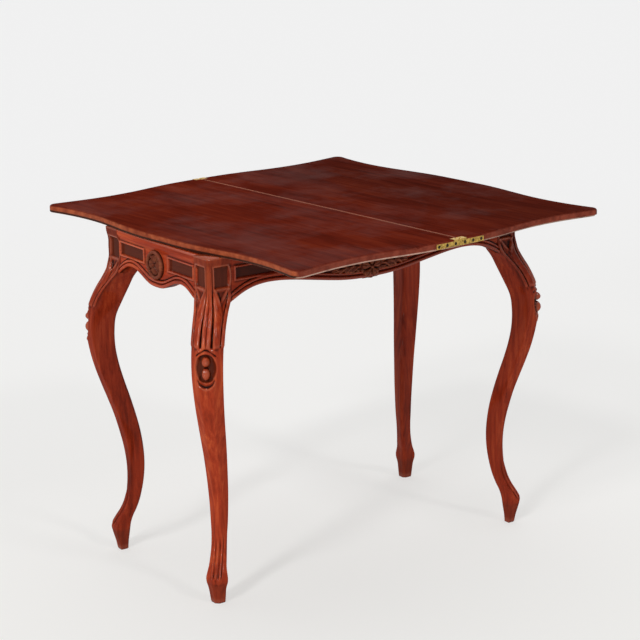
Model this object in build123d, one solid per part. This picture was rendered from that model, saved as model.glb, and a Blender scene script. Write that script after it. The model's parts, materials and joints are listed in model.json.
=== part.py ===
from build123d import *
import math
import os

# Swivel-top serpentine games table, in millimetres, +Z up, drawn in the photographed pose:
# the folding top is opened out flat and turned almost square to the frame. It is drawn about
# the middle of the frame and moved at the end, so that the origin is the middle of its footprint.

# Whole table
table_height = 750.0
frame_length = 812.8
frame_depth = 413.0
leaf_thickness = 16.0
frame_top = table_height - leaf_thickness

# Pose of the top: the swing left before it reaches the square open stop
swing_left = 4.7
full_swing = 90.0
pivot_x = -93.0
pivot_y = 102.0

# Outline of the opened top: u runs across the seam and v along it
top_width = 859.0
top_length = 878.0
end_bulge = 2.0
end_waist = 28.3
end_waist_share = 0.70
side_bulge = 4.4
side_waist = 26.7
side_waist_share = 0.60
seat_half = 95.0
corner_radius = 17.0
waist_radius = 560.0
bulge_radius = 700.0

# Edges of the leaves
top_edge_radius = 5.0
bed_lower_radius = 3.0
flap_step_height = 3.5
flap_step_inset = 4.5

# Hinges let into the ends of the seam
pin_inset = 3.6
fold_gap = 0.2
seam_gap = 0.1
seam_ease_rise = 1.4
hinge_leaf_length = 66.0
hinge_leaf_height = 10.7
hinge_leaf_drop = 3.3
hinge_leaf_thickness = 2.0
hinge_head_length = 17.0
hinge_head_height = 14.0
hinge_head_depth = 14.0
hinge_pin_radius = 1.4
link_thickness = 4.0
link_end_radius = 3.2
link_slot_gap = 0.1
link_swing_gap = 0.3
hinge_screw_places = (13.0, 36.0, 59.0)
hinge_screw_head = 3.6
hinge_screw_shank = 1.9
hinge_screw_length = 16.0

# Swivel: plate, bolt, washer and nut on the leaf, rail and bush in the frame
pivot_plate_side = 70.0
pivot_plate_thickness = 3.0
pivot_plate_hole_inset = 11.0
bolt_radius = 6.0
bolt_head_radius = 11.0
bolt_head_height = 3.0
bolt_tail = 4.0
washer_radius = 17.0
washer_thickness = 2.0
nut_across_flats = 19.0
nut_height = 9.0
bush_wall = 4.0
rail_width = 92.0
rail_thickness = 24.0
rail_housing = 9.0
plate_screw_head = 4.2
plate_screw_shank = 2.2
plate_screw_length = 13.0
peg_orbit = 84.0
peg_radius = 6.0
peg_drop = 13.0
peg_seat = 9.0
stop_block_width = 36.0
stop_block_depth = 24.0
stop_block_height = 20.0
stop_block_sink = 1.0
stop_gap = 0.3

# Legs: a square stile above a cabriole that swells along its diagonal
stile_side = 56.0
stile_height = 92.0
stile_recess = 2.0
cabriole_lap = 10.0
knee_reach = 46.0
knee_width = 66.0
facet_crown = 1.6
inner_facet = 4.0
reed_flute_radius = 4.2
reed_flute_place = 8.5
reed_vein_radius = 1.5
reed_flute_proud = 1.0
side_flute_radius = 3.0
side_flute_place = 21.0
side_flute_set = 6.5
cartouche_half_width = 13.0
cartouche_half_height = 33.0
cartouche_depth = 4.5
cartouche_bead = 8.5
cartouche_drop_height = 16.0
cartouche_drop_width = 6.0
crescent_radius = 16.0
crescent_cut = 2.6
stile_panel_width = 36.0
stile_panel_height = 46.0
stile_panel_notch = 14.0
stile_panel_sink = 2.5
stile_panel_rib = 15.0
stile_panel_top = 18.0

# Aprons between the stiles
apron_thickness = 20.0
apron_recess = 6.0
cove_height = 12.0
lip_height = 4.0
cove_bow_shares = (0.75, 0.35)
tenon_thickness = 8.0
tenon_length = 22.0
tenon_height = 40.0
tenon_drop = 12.0
tenon_set = 6.0
side_arch_drop = 72.0
front_arch_drop = 67.0
lobe_drop = 95.5
end_drop = 91.0
side_edge_radii = (60.0, 80.0, 100.0)
front_edge_radii = (150.0, 400.0, 600.0)
low_bead_width = 8.0
low_bead_proud = 3.5
low_bead_round = 2.4
high_bead_width = 6.0
high_bead_proud = 1.8
high_bead_round = 1.2
panel_height = 26.0
panel_drop = 22.0
panel_sink = 3.0
panel_frame_width = 5.0
panel_frame_proud = 1.8
panel_frame_round = 1.2
panel_end_gap = 12.0
medallion_radius = 25.5
medallion_drop = 42.0
medallion_gap = 16.0
ornament_half_length = 104.0

# Carving laid on the aprons
ring_width = 4.5
medallion_base = 3.0
ring_proud = 6.5
petal_proud = 6.0
petal_length = 19.0
petal_width = 12.0
petal_round = 1.5
button_radius = 4.5
blossom_petal_length = 21.0
blossom_petal_width = 17.0
blossom_proud = 9.0
leaf_proud = 6.5
leaf_width = 15.0
ornament_drop = 76.0
carving_round = 1.4

# Well: floor, cleats, glue blocks and their screws
floor_thickness = 8.0
cleat_height = 9.0
cleat_width = 14.0
floor_depth = 50.0
floor_gap = 0.5
glue_block_side = 22.0
glue_block_height = 34.0
glue_block_drop = 8.0
floor_screw_head = 4.0
floor_screw_shank = 2.0
floor_screw_length = 15.0
floor_screws_per_side = 4
slot_width = 0.9
slot_depth = 1.0

# Fits
wood_gap = 0.05
press_gap = 0.02
running_gap = 0.05
lift_gap = 0.1
overrun = 5.0

# An edge with less than this share of its direction along X counts as upright
upright_share = 0.3

# Places worked out from the sizes above
half_length = frame_length / 2
half_depth = frame_depth / 2
half_top_width = top_width / 2
half_top_length = top_length / 2
seat_v = half_top_length + side_bulge
pin_depth = pin_inset - fold_gap / 2
nose_radius = pin_inset - seam_gap
rail_bottom = frame_top - rail_thickness
floor_top = frame_top - floor_depth
floor_bottom = floor_top - floor_thickness
bush_radius = bolt_radius + running_gap
stile_bottom = frame_top - stile_height
cabriole_top = stile_bottom + cabriole_lap


def turned(x, y, degrees):
    """A point turned about the origin."""
    turn = math.radians(degrees)
    return (x * math.cos(turn) - y * math.sin(turn), x * math.sin(turn) + y * math.cos(turn))


# The closed bed leaf lies centred on the frame with the seam at the back. Its swing about the
# pivot then gives where the seam is in the square open pose and in the drawn pose.
closed_x = 0.0 - pivot_x
closed_y = (half_top_width + end_bulge) / 2 - pivot_y
pivot_u, pivot_v = (-value for value in turned(closed_x, closed_y, -full_swing))
seam_x, seam_y = (value + centre for value, centre in
                  zip(turned(-pivot_u, -pivot_v, swing_left), (pivot_x, pivot_y)))
peg_u, peg_v = (value + place for value, place in
                zip(turned(peg_orbit, 0.0, -full_swing / 2), (pivot_u, pivot_v)))


def block(x_low, x_high, y_low, y_high, z_low, z_high):
    """A box between two corners."""
    corner = Pos((x_low + x_high) / 2, (y_low + y_high) / 2, (z_low + z_high) / 2)
    return corner * Box(x_high - x_low, y_high - y_low, z_high - z_low)


def rod(radius, start, direction, length):
    """A cylinder from a point along a direction."""
    return Plane(origin=start, z_dir=direction) * Cylinder(
        radius, length, align=(Align.CENTER, Align.CENTER, Align.MIN))


def screw_form(start, direction, head, shank, length, gap):
    """A countersunk screw with its head at the start point, enlarged by a gap for its hole."""
    head_height = head - shank
    base = Plane(origin=start, z_dir=direction)
    cone = base * Cone(head + gap, shank + gap, head_height,
                       align=(Align.CENTER, Align.CENTER, Align.MIN))
    return cone + rod(shank + gap, start, direction, length + gap)


def screw(start, direction, head, shank, length):
    """A countersunk slotted screw."""
    slot = Plane(origin=start, z_dir=direction) * Box(
        3 * head, slot_width, slot_depth, align=(Align.CENTER, Align.CENTER, Align.MIN))
    return screw_form(start, direction, head, shank, length, 0) - slot


# Outline of the opened top

def run_points(half_run, half_across, bulge, waist, share):
    """One serpentine run from its first corner to just before its second."""
    place = half_run * share
    return [(-half_run, half_across), (-place, half_across - waist), (-seat_half, half_across + bulge),
            (seat_half, half_across + bulge), (place, half_across - waist)]


def top_outline(inset):
    """The whole top as a face, with its edge moved in by an inset."""
    side = run_points(half_top_width, half_top_length, side_bulge, side_waist, side_waist_share)
    end = run_points(half_top_length, half_top_width, end_bulge, end_waist, end_waist_share)
    points = []
    radii = []
    for quarter, run in enumerate((side, end, side, end)):
        points += [turned(x, y, -90 * quarter) for x, y in run]
        radii += [corner_radius, waist_radius, bulge_radius, bulge_radius, waist_radius]
    edge = FilletPolyline(*points, radius=radii, close=True)
    face = make_face(edge)
    if inset:
        face = offset(face, amount=-inset)
    return face


def edges_at(solid, height):
    """The edges that lie flat at a height."""
    return [edge for edge in solid.edges()
            if abs(edge.bounding_box().min.Z - height) < lift_gap
            and abs(edge.bounding_box().max.Z - height) < lift_gap]


def seam_nose():
    """What is taken off the seam edge of the flap so that it can roll over the other leaf."""
    below = table_height - pin_depth
    corner = block(0 - overrun, pin_inset, -top_length, top_length, below, table_height + overrun)
    straight = block(0 - overrun, seam_gap, -top_length, top_length, 0, table_height + overrun)
    nose = rod(nose_radius, (pin_inset, -top_length, below), (0, 1, 0), 2 * top_length)
    return (corner - nose) + straight


def seam_ease():
    """What is taken off the flap's lower seam arris, so that it clears the frame as it lifts."""
    below = frame_top - overrun
    profile = Polyline((0, below), (0, frame_top + seam_ease_rise), (pin_inset + lift_gap, frame_top),
                       (pin_inset + lift_gap, below), close=True)
    return extrude(Plane.XZ * make_face(profile), top_length, both=True)


def top_half(solid):
    """The half of the opened top on the flap's side of the seam."""
    return solid & block(0, top_width, -top_length, top_length, 0, 2 * table_height)


def hinge_pocket(side):
    """The mortise for one hinge leaf in the end edge of the flap, at the v end of a side."""
    high = table_height - hinge_leaf_drop
    far = hinge_leaf_length + wood_gap
    plate = block(0 - overrun, far, seat_v - hinge_leaf_thickness - wood_gap, seat_v + overrun,
                  high - hinge_leaf_height, high)
    head = block(0 - overrun, hinge_head_length + wood_gap, seat_v - hinge_head_depth - wood_gap,
                 seat_v + overrun, table_height - hinge_head_height - wood_gap, table_height + overrun)
    pocket = plate + head
    for place in hinge_screw_places:
        pocket += rod(hinge_screw_shank + press_gap, (place, seat_v, high - hinge_leaf_height / 2),
                      (0, -1, 0), hinge_screw_length + press_gap)
    return pocket if side > 0 else mirror(pocket, about=Plane.XZ)


def flap_leaf():
    """The upper leaf, whose stepped lower edge shows as a moulding when it is folded over."""
    upper = Pos(0, 0, frame_top + flap_step_height) * top_outline(0)
    body = extrude(upper, leaf_thickness - flap_step_height)
    body = fillet(edges_at(body, table_height), top_edge_radius)
    step = extrude(Pos(0, 0, frame_top) * top_outline(flap_step_inset), flap_step_height)
    leaf = top_half(body + step) - seam_nose() - seam_ease()
    for side in (-1, 1):
        leaf -= hinge_pocket(side)
    return leaf


def bed_leaf():
    """The lower leaf, which turns on the frame."""
    body = extrude(Pos(0, 0, frame_top) * top_outline(0), leaf_thickness)
    body = fillet(edges_at(body, table_height), top_edge_radius)
    body = fillet(edges_at(body, frame_top), bed_lower_radius)
    leaf = top_half(body) - seam_nose()
    for side in (-1, 1):
        leaf -= hinge_pocket(side)
    leaf = mirror(leaf, about=Plane.YZ)
    half_plate = pivot_plate_side / 2 + wood_gap
    leaf -= block(pivot_u - half_plate, pivot_u + half_plate, pivot_v - half_plate, pivot_v + half_plate,
                  0, frame_top + pivot_plate_thickness)
    plate_top = frame_top + pivot_plate_thickness
    leaf -= rod(bolt_head_radius + wood_gap, (pivot_u, pivot_v, plate_top), (0, 0, 1),
                bolt_head_height + wood_gap)
    for place in plate_screw_places():
        leaf -= rod(plate_screw_shank + press_gap, place, (0, 0, 1), plate_screw_length + press_gap)
    leaf -= rod(peg_radius + press_gap, (peg_u, peg_v, 0), (0, 0, 1), frame_top + peg_seat)
    return leaf


# Hinges

def hinge_leaf(side):
    """The brass leaf on the flap: a screwed plate with a slotted head for the link."""
    high = table_height - hinge_leaf_drop
    middle = high - hinge_leaf_height / 2
    plate = block(seam_gap, hinge_leaf_length, seat_v - hinge_leaf_thickness, seat_v,
                  high - hinge_leaf_height, high)
    head = block(seam_gap, hinge_head_length, seat_v - hinge_head_depth, seat_v,
                 table_height - hinge_head_height, table_height)
    leaf = plate + head - seam_nose()
    slot_middle = seat_v - hinge_head_depth / 2
    half_slot = link_thickness / 2 + link_slot_gap
    reach = link_end_radius + link_swing_gap
    leaf -= block(0 - overrun, pin_inset + reach, slot_middle - half_slot, slot_middle + half_slot,
                  table_height - pin_depth - reach, table_height + overrun)
    leaf -= rod(hinge_pin_radius + press_gap, (pin_inset, seat_v + overrun, table_height - pin_depth),
                (0, -1, 0), hinge_head_depth + 2 * overrun)
    for place in hinge_screw_places:
        leaf -= screw_form((place, seat_v, middle), (0, -1, 0), hinge_screw_head, hinge_screw_shank,
                           hinge_screw_length, press_gap)
    return leaf if side > 0 else mirror(leaf, about=Plane.XZ)


def hinge_pins():
    """The pins in the flap's two hinge heads."""
    pins = []
    for side in (-1, 1):
        pins.append(rod(hinge_pin_radius, (pin_inset, side * seat_v, table_height - pin_depth),
                        (0, -side, 0), hinge_head_depth))
    return pins


def hinge_screws():
    """The screws of the flap's two hinge leaves."""
    middle = table_height - hinge_leaf_drop - hinge_leaf_height / 2
    screws = []
    for side in (-1, 1):
        for place in hinge_screw_places:
            screws.append(screw((place, side * seat_v, middle), (0, -side, 0), hinge_screw_head,
                                hinge_screw_shank, hinge_screw_length))
    return screws


def hinge_link(side):
    """The link that joins the two heads of one hinge."""
    height = table_height - pin_depth
    start = side * (seat_v - hinge_head_depth / 2) - link_thickness / 2
    link = block(-pin_inset, pin_inset, start, start + link_thickness,
                 height - link_end_radius, height + link_end_radius)
    for place in (-pin_inset, pin_inset):
        link += rod(link_end_radius, (place, start, height), (0, 1, 0), link_thickness)
    for place in (-pin_inset, pin_inset):
        link -= rod(hinge_pin_radius + running_gap, (place, start - overrun, height), (0, 1, 0),
                    link_thickness + 2 * overrun)
    return link


# Swivel

def plate_screw_places():
    """The screw holes of the pivot plate."""
    reach = pivot_plate_side / 2 - pivot_plate_hole_inset
    return [(pivot_u + x * reach, pivot_v + y * reach, frame_top) for x in (-1, 1) for y in (-1, 1)]


def pivot_plate():
    """The brass plate let into the underside of the bed leaf."""
    half = pivot_plate_side / 2
    plate = block(pivot_u - half, pivot_u + half, pivot_v - half, pivot_v + half,
                  frame_top, frame_top + pivot_plate_thickness)
    plate -= rod(bolt_radius + press_gap, (pivot_u, pivot_v, 0), (0, 0, 1), table_height)
    for place in plate_screw_places():
        plate -= screw_form(place, (0, 0, 1), plate_screw_head, plate_screw_shank,
                            plate_screw_length, press_gap)
    return plate


def pivot_bolt():
    """The bolt that hangs from the plate and turns in the bush."""
    plate_top = frame_top + pivot_plate_thickness
    length = plate_top - rail_bottom + lift_gap + washer_thickness + nut_height + bolt_tail
    bolt = rod(bolt_radius, (pivot_u, pivot_v, plate_top), (0, 0, -1), length)
    bolt += rod(bolt_head_radius, (pivot_u, pivot_v, plate_top), (0, 0, 1), bolt_head_height)
    return bolt


def pivot_washer():
    """The washer under the rail."""
    start = (pivot_u, pivot_v, rail_bottom - lift_gap)
    return (rod(washer_radius, start, (0, 0, -1), washer_thickness)
            - rod(bolt_radius + press_gap, (pivot_u, pivot_v, 0), (0, 0, 1), table_height))


def pivot_nut():
    """The nut that holds the top down on the frame."""
    high = rail_bottom - lift_gap - washer_thickness
    hexagon = RegularPolygon(nut_across_flats / 2, 6, major_radius=False)
    nut = extrude(Pos(pivot_u, pivot_v, high - nut_height) * hexagon, nut_height)
    return nut - rod(bolt_radius + press_gap, (pivot_u, pivot_v, 0), (0, 0, 1), table_height)


def stop_peg():
    """The peg under the bed leaf that meets the stop blocks."""
    return rod(peg_radius, (peg_u, peg_v, frame_top + peg_seat), (0, 0, -1), peg_seat + peg_drop)


def peg_place(swing):
    """Where the peg stands over the frame at a swing from the square open pose."""
    x, y = turned(peg_orbit, 0.0, swing - full_swing / 2)
    return x + pivot_x, y + pivot_y


def stop_block(swing, back):
    """The block on the rail that the peg meets at one end of the swing, from its face to its back."""
    x, y = peg_place(swing)
    side = 1 if back > y else -1
    face = y + side * (peg_radius + stop_gap)
    high = frame_top - stop_block_sink
    return block(pivot_x + rail_width / 2, pivot_x + rail_width / 2 + stop_block_width,
                 min(face, back), max(face, back), high - stop_block_height, high)


def pivot_rail():
    """The cross rail that carries the swivel, housed in the front and back aprons."""
    reach = half_depth - apron_recess - apron_thickness + rail_housing
    rail = block(pivot_x - rail_width / 2, pivot_x + rail_width / 2, -reach, reach, rail_bottom, frame_top)
    return rail - rod(bush_radius + bush_wall + press_gap, (pivot_x, pivot_y, 0), (0, 0, 1), table_height)


def pivot_bush():
    """The brass bush pressed into the rail."""
    start = (pivot_x, pivot_y, rail_bottom)
    return (rod(bush_radius + bush_wall, start, (0, 0, 1), rail_thickness)
            - rod(bush_radius, (pivot_x, pivot_y, 0), (0, 0, 1), table_height))


# Legs, drawn with the frame's corner at the origin and the diagonal outward along +X and +Y

# Shares: height of cabriole_top, inner and outer face of knee_reach, width and facet of knee_width
leg_shares = [
    (0.0878, -0.740, 0.290, 0.644, 0.105), (0.1036, -0.820, 0.040, 0.590, 0.090),
    (0.1430, -1.065, -0.304, 0.550, 0.090), (0.1723, -1.217, -0.489, 0.525, 0.090),
    (0.2151, -1.347, -0.620, 0.525, 0.095), (0.2613, -1.467, -0.685, 0.560, 0.105),
    (0.3164, -1.521, -0.674, 0.610, 0.115), (0.3739, -1.477, -0.565, 0.660, 0.125),
    (0.4291, -1.357, -0.380, 0.705, 0.130), (0.4865, -1.163, -0.152, 0.758, 0.140),
    (0.5417, -0.934, 0.130, 0.815, 0.150), (0.5969, -0.684, 0.424, 0.864, 0.165),
    (0.6520, -0.467, 0.685, 0.915, 0.185), (0.7072, -0.315, 0.870, 0.962, 0.210),
    (0.7692, -0.304, 1.000, 1.000, 0.240), (0.8232, -0.413, 0.946, 1.015, 0.245),
    (0.8739, -0.740, 0.740, 1.020, 0.240), (0.9234, -1.087, 0.400, 1.030, 0.230),
    (0.9617, -1.350, 0.065, 1.045, 0.200), (1.0000, -1.520, -0.175, 1.050, 0.180)]
peg_shares = [(0.0000, -0.543, -0.022, 0.394, 0.060),
              (0.0248, -0.587, 0.090, 0.470, 0.075),
              (0.0878, -0.740, 0.290, 0.644, 0.105)]

# Shares of cabriole_top: the middle of the sunk oval, and the reach of the reeds above it
cartouche_share = 0.7815
reed_low_share = 0.832
reed_high_share = 0.99


def leg_section(shares):
    """One level section of the leg, a square on its corner with an eased outer corner."""
    rise, inner, outer, width, facet = shares
    near = inner * knee_reach
    far = outer * knee_reach
    half = width * knee_width / 2
    flat = facet * knee_width
    side = far - (half - flat)
    crown = ThreePointArc((far - facet_crown, -flat), (far, 0), (far - facet_crown, flat))
    rest = Polyline((far - facet_crown, flat), (side, half), (near, inner_facet), (near, -inner_facet),
                    (side, -half), (far - facet_crown, -flat))
    return Pos(0, 0, rise * cabriole_top) * Rot(0, 0, 45) * make_face(Wire([*crown.edges(), *rest.edges()]))


def outer_line(proud, across):
    """The line of the knee's outer face over the reach of the reeds, standing proud by an amount."""
    return Spline(*[(outer * knee_reach + proud, across, rise * cabriole_top)
                    for rise, inner, outer, width, facet in leg_shares
                    if reed_low_share <= rise <= reed_high_share])


def groove(proud, across, radius):
    """A round groove run along the outer face of the knee."""
    line = outer_line(proud, across)
    section = Plane(origin=line @ 0, z_dir=line % 0) * Circle(radius)
    return Rot(0, 0, 45) * sweep(section, path=line)


def cartouche_cut():
    """The sunk oval on the knee."""
    middle = (knee_reach - cartouche_depth, 0, cartouche_share * cabriole_top)
    face = Plane(origin=middle, x_dir=(0, 1, 0), z_dir=(1, 0, 0))
    oval = face * Ellipse(cartouche_half_width, cartouche_half_height)
    return Rot(0, 0, 45) * extrude(oval, cartouche_depth + overrun)


def cartouche_beads():
    """The round bead and the drop carved in the sunk oval."""
    depth = knee_reach - cartouche_depth
    rise = cartouche_share * cabriole_top
    bead = Pos(depth, 0, rise + cartouche_half_height / 2) * Sphere(cartouche_bead)
    drop = Pos(depth, 0, rise - cartouche_half_height / 2) * Rot(0, 90, 0) * scale(
        Sphere(cartouche_drop_width), by=(cartouche_drop_height / cartouche_drop_width, 1, 1))
    return Rot(0, 0, 45) * (bead + drop)


def cove_cutter(recess):
    """What is taken off an outer face to leave its recess, cove and lip, along +X from the corner."""
    low = stile_bottom - overrun
    cove_low = frame_top - lip_height - cove_height
    lip = frame_top - lip_height
    middle = (-recess * cove_bow_shares[0], lip - cove_height * cove_bow_shares[1])
    outline = Polyline((0, lip), (overrun, lip), (overrun, low), (-recess, low), (-recess, cove_low))
    cove = ThreePointArc((-recess, cove_low), middle, (0, lip))
    return make_face(Wire([*outline.edges(), *cove.edges()]))


def swapped(shape):
    """The same feature on the leg's other outer face."""
    return mirror(shape, about=Plane(origin=(0, 0, 0), z_dir=(1, -1, 0)))


def stile_panel():
    """The sunk panel on one outer face of the stile, ending below in a point."""
    near = -stile_panel_rib
    far = near - stile_panel_width
    high = frame_top - stile_panel_top
    low = high - stile_panel_height
    outline = Polyline((near, high), (far, high), (far, low), ((near + far) / 2, low - stile_panel_notch),
                       (near, low), close=True)
    plane = Plane(origin=(-stile_recess - stile_panel_sink, 0, 0), x_dir=(0, 1, 0), z_dir=(1, 0, 0))
    return extrude(plane * make_face(outline), stile_panel_sink + overrun)


def mortise():
    """The mortise for the apron that runs back along Y from the stile."""
    outer = -apron_recess - tenon_set + wood_gap
    high = frame_top - tenon_drop + wood_gap
    return block(outer - tenon_thickness - 2 * wood_gap, outer, -stile_side - overrun,
                 -stile_side + tenon_length + wood_gap, high - tenon_height - 2 * wood_gap, high)


def leg():
    """One leg, cut from the solid: stile, reeded knee, sunk oval, toe and peg."""
    stile = block(-stile_side, 0, -stile_side, 0, stile_bottom, frame_top)
    cove = extrude(Plane.XZ * cove_cutter(stile_recess), stile_side + overrun, both=True)
    stile = stile - cove - swapped(cove)
    stile = stile - stile_panel() - swapped(stile_panel())
    cabriole = loft([leg_section(shares) for shares in leg_shares])
    peg = loft([leg_section(shares) for shares in peg_shares], ruled=True)
    body = stile + cabriole + peg
    for side in (-1, 1):
        body -= groove(reed_flute_proud, side * reed_flute_place, reed_flute_radius)
        body -= groove(-side_flute_set, side * side_flute_place, side_flute_radius)
    body -= groove(0, 0, reed_vein_radius)
    body = body - cartouche_cut() + cartouche_beads()
    return body - mortise() - swapped(mortise())


# Aprons, drawn as the front one: along X, with the outer face towards -Y

# Shares of the half length for the points of the lower edge, from the leg to the middle
side_edge_shares = (1.0, 0.76, 0.54, 0.16)
front_edge_shares = (1.0, 0.86, 0.66, 0.16)


def lower_edge(half_run, shares, drops, radii, lift):
    """The arched and lobed lower edge, raised by a lift."""
    half = [(share * half_run, frame_top - drop + lift) for share, drop in zip(shares, drops)]
    points = [(-x, z) for x, z in half] + half[::-1]
    return FilletPolyline(*points, radius=[*radii, *radii[::-1]])


def between(low, high):
    """The face between two edges that span the same run."""
    ends = [Line(low @ 0, high @ 0), Line(low @ 1, high @ 1)]
    return make_face(Wire([*low.edges(), *high.edges(), ends[0].edge(), ends[1].edge()]))


def facing(face, depth, thickness):
    """A face drawn in X and Z, thickened inwards from a depth behind the front plane."""
    return Pos(0, depth + thickness, 0) * extrude(Plane.XZ * face, thickness)


def bead(face, proud, radius):
    """A raised band on the apron's face, rounded on the edges that aren't close to upright."""
    start = apron_recess - proud
    band = facing(face, start, proud + apron_recess)
    front = [edge for edge in band.edges()
             if edge.bounding_box().max.Y < start + lift_gap and abs((edge % 0.5).X) > upright_share]
    return fillet(front, radius)


def panel_face(low_x, high_x, grow):
    """The rectangle of a sunk panel, grown all round by an amount."""
    high = frame_top - panel_drop
    return Pos((low_x + high_x) / 2, high - panel_height / 2) * Rectangle(
        high_x - low_x + 2 * grow, panel_height + 2 * grow)


def apron(half_run, half_span, shares, drops, radii, panel_start, housing):
    """One apron of the given half length, its front plane a half span from the frame's middle."""
    low = lower_edge(half_run, shares, drops, radii, 0)
    top = Polyline((-half_run, frame_top), (half_run, frame_top))
    body = facing(between(low, top), apron_recess, apron_thickness)
    lip = facing(Pos(0, frame_top - (cove_height + lip_height) / 2) * Rectangle(
        2 * half_run, cove_height + lip_height), 0, 2 * apron_recess)
    cove = extrude(Plane.XZ * cove_cutter(apron_recess), half_run + overrun, both=True)
    body += lip - Rot(0, 0, -90) * cove
    bead_edges = [lower_edge(half_run, shares, drops, radii, lift)
                  for lift in (0, low_bead_width, low_bead_width + high_bead_width)]
    body += bead(between(bead_edges[0], bead_edges[1]), low_bead_proud, low_bead_round)
    body += bead(between(bead_edges[1], bead_edges[2]), high_bead_proud, high_bead_round)
    panel_end = half_run - panel_end_gap
    for side in (-1, 1):
        ends = sorted((side * panel_start, side * panel_end))
        frame = facing(panel_face(*ends, panel_frame_width), apron_recess - panel_frame_proud, apron_recess)
        outer = [edge for edge in frame.edges()
                 if edge.bounding_box().max.Y < apron_recess - panel_frame_proud + lift_gap]
        body += fillet(outer, panel_frame_round)
        body -= facing(panel_face(*ends, 0), -overrun, overrun + apron_recess + panel_sink)
    tenon_top = frame_top - tenon_drop
    for side in (-1, 1):
        ends = sorted((side * half_run, side * (half_run + tenon_length)))
        depth = apron_recess + tenon_set
        body += block(*ends, depth, depth + tenon_thickness, tenon_top - tenon_height, tenon_top)
    if housing is not None:
        inner = apron_recess + apron_thickness
        half_rail = rail_width / 2 + wood_gap
        body -= block(housing - half_rail, housing + half_rail, inner - rail_housing - wood_gap,
                      inner + overrun, rail_bottom - wood_gap, frame_top + overrun)
    return Pos(0, -half_span, 0) * body


def petal(length, width, start, proud, radius):
    """A pointed petal along +X, thickened forward from the apron's face."""
    upper = ThreePointArc((start, 0), (start + length / 2, width / 2), (start + length, 0))
    lower = ThreePointArc((start, 0), (start + length / 2, -width / 2), (start + length, 0))
    body = extrude(make_face(Wire([*upper.edges(), *lower.edges()])), proud)
    return fillet(edges_at(body, proud), radius)


def on_apron(shape, x, z, half_span):
    """A carving drawn flat with its face up, laid on the front apron's face."""
    return Pos(x, -half_span + apron_recess, z) * Rot(90, 0, 0) * shape


def medallion(half_span):
    """The round rosette on a side apron."""
    body = extrude(Circle(medallion_radius), medallion_base)
    ring = extrude(Circle(medallion_radius) - Circle(medallion_radius - ring_width), ring_proud)
    body += fillet(edges_at(ring, ring_proud), carving_round)
    for quarter in range(4):
        body += Rot(0, 0, 90 * quarter) * petal(petal_length, petal_width, 0, petal_proud, petal_round)
    body += Pos(0, 0, petal_proud) * Sphere(button_radius)
    return on_apron(body, 0, frame_top - medallion_drop, half_span)


# Shares of the ornament's half length, with the angle of each leaf in degrees:
# where the leaf starts along and up, its length, and its width as a share of the leaf width
scroll_shares = [(0.10, 0.06, 12, 0.50, 1.0), (0.36, 0.10, -16, 0.42, 1.0), (0.60, 0.05, 14, 0.40, 0.9),
                 (0.24, 0.08, 52, 0.24, 0.7), (0.44, 0.06, -52, 0.20, 0.7), (0.62, 0.06, 58, 0.18, 0.6)]


def ornament(half_span, carrier):
    """The blossom and leaf scrolls in the middle of a long apron."""
    body = Pos(0, 0, leaf_proud) * Sphere(button_radius) + extrude(Circle(button_radius), leaf_proud)
    for turn in range(5):
        body += Rot(0, 0, 90 + 72 * turn) * petal(blossom_petal_length, blossom_petal_width, 0,
                                                  blossom_proud, carving_round)
    for along, up, angle, length, width in scroll_shares:
        size = ornament_half_length
        leaf = petal(length * size, width * leaf_width, 0, leaf_proud, carving_round)
        scroll = Pos(along * size, up * size) * Rot(0, 0, angle) * leaf
        body += scroll
        body += mirror(scroll, about=Plane.YZ)
    return on_apron(body, 0, frame_top - ornament_drop, half_span) - carrier


# Inside of the frame

def well_floor():
    """The floor of the well, notched round the stiles."""
    half_x = half_length - apron_recess - apron_thickness - floor_gap
    half_y = half_depth - apron_recess - apron_thickness - floor_gap
    body = block(-half_x, half_x, -half_y, half_y, floor_bottom, floor_top)
    notch = stile_side + floor_gap
    for x in (-1, 1):
        for y in (-1, 1):
            body -= block(*sorted((x * (half_length - notch), x * half_length)),
                          *sorted((y * (half_depth - notch), y * half_depth)), 0, table_height)
    for place in floor_screw_places():
        body -= screw_form(place, (0, 0, -1), floor_screw_head, floor_screw_shank,
                           floor_screw_length, press_gap)
    return body


def floor_screw_places():
    """Screws down through the floor into the two cleats."""
    reach = half_length - stile_side
    step = 2 * reach / floor_screws_per_side
    middle = half_depth - apron_recess - apron_thickness - cleat_width / 2
    return [(-reach + (number + 0.5) * step, side * middle, floor_top)
            for number in range(floor_screws_per_side) for side in (-1, 1)]


def cleat(side):
    """The strip glued inside a long apron that carries the floor."""
    inner = half_depth - apron_recess - apron_thickness
    reach = half_length - stile_side
    body = block(-reach, reach, *sorted((side * inner, side * (inner - cleat_width))),
                 floor_bottom - cleat_height, floor_bottom)
    for place in floor_screw_places():
        body -= rod(floor_screw_shank + press_gap, place, (0, 0, -1), floor_screw_length + press_gap)
    return body


def inwards(side, start, length):
    """The run of a length that goes inwards from a distance on one side of the middle."""
    return sorted((side * start, side * (start - length)))


def glue_blocks():
    """A block in each angle between a stile and an apron."""
    blocks = []
    high = frame_top - glue_block_drop
    low = high - glue_block_height
    inner = apron_recess + apron_thickness
    for x in (-1, 1):
        for y in (-1, 1):
            along = inwards(x, half_length - stile_side, glue_block_side)
            across = inwards(y, half_depth - inner, glue_block_side)
            blocks.append(block(*along, *across, low, high))
            along = inwards(x, half_length - inner, glue_block_side)
            across = inwards(y, half_depth - stile_side, glue_block_side)
            blocks.append(block(*along, *across, low, high))
    return blocks


# Assembly

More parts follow.
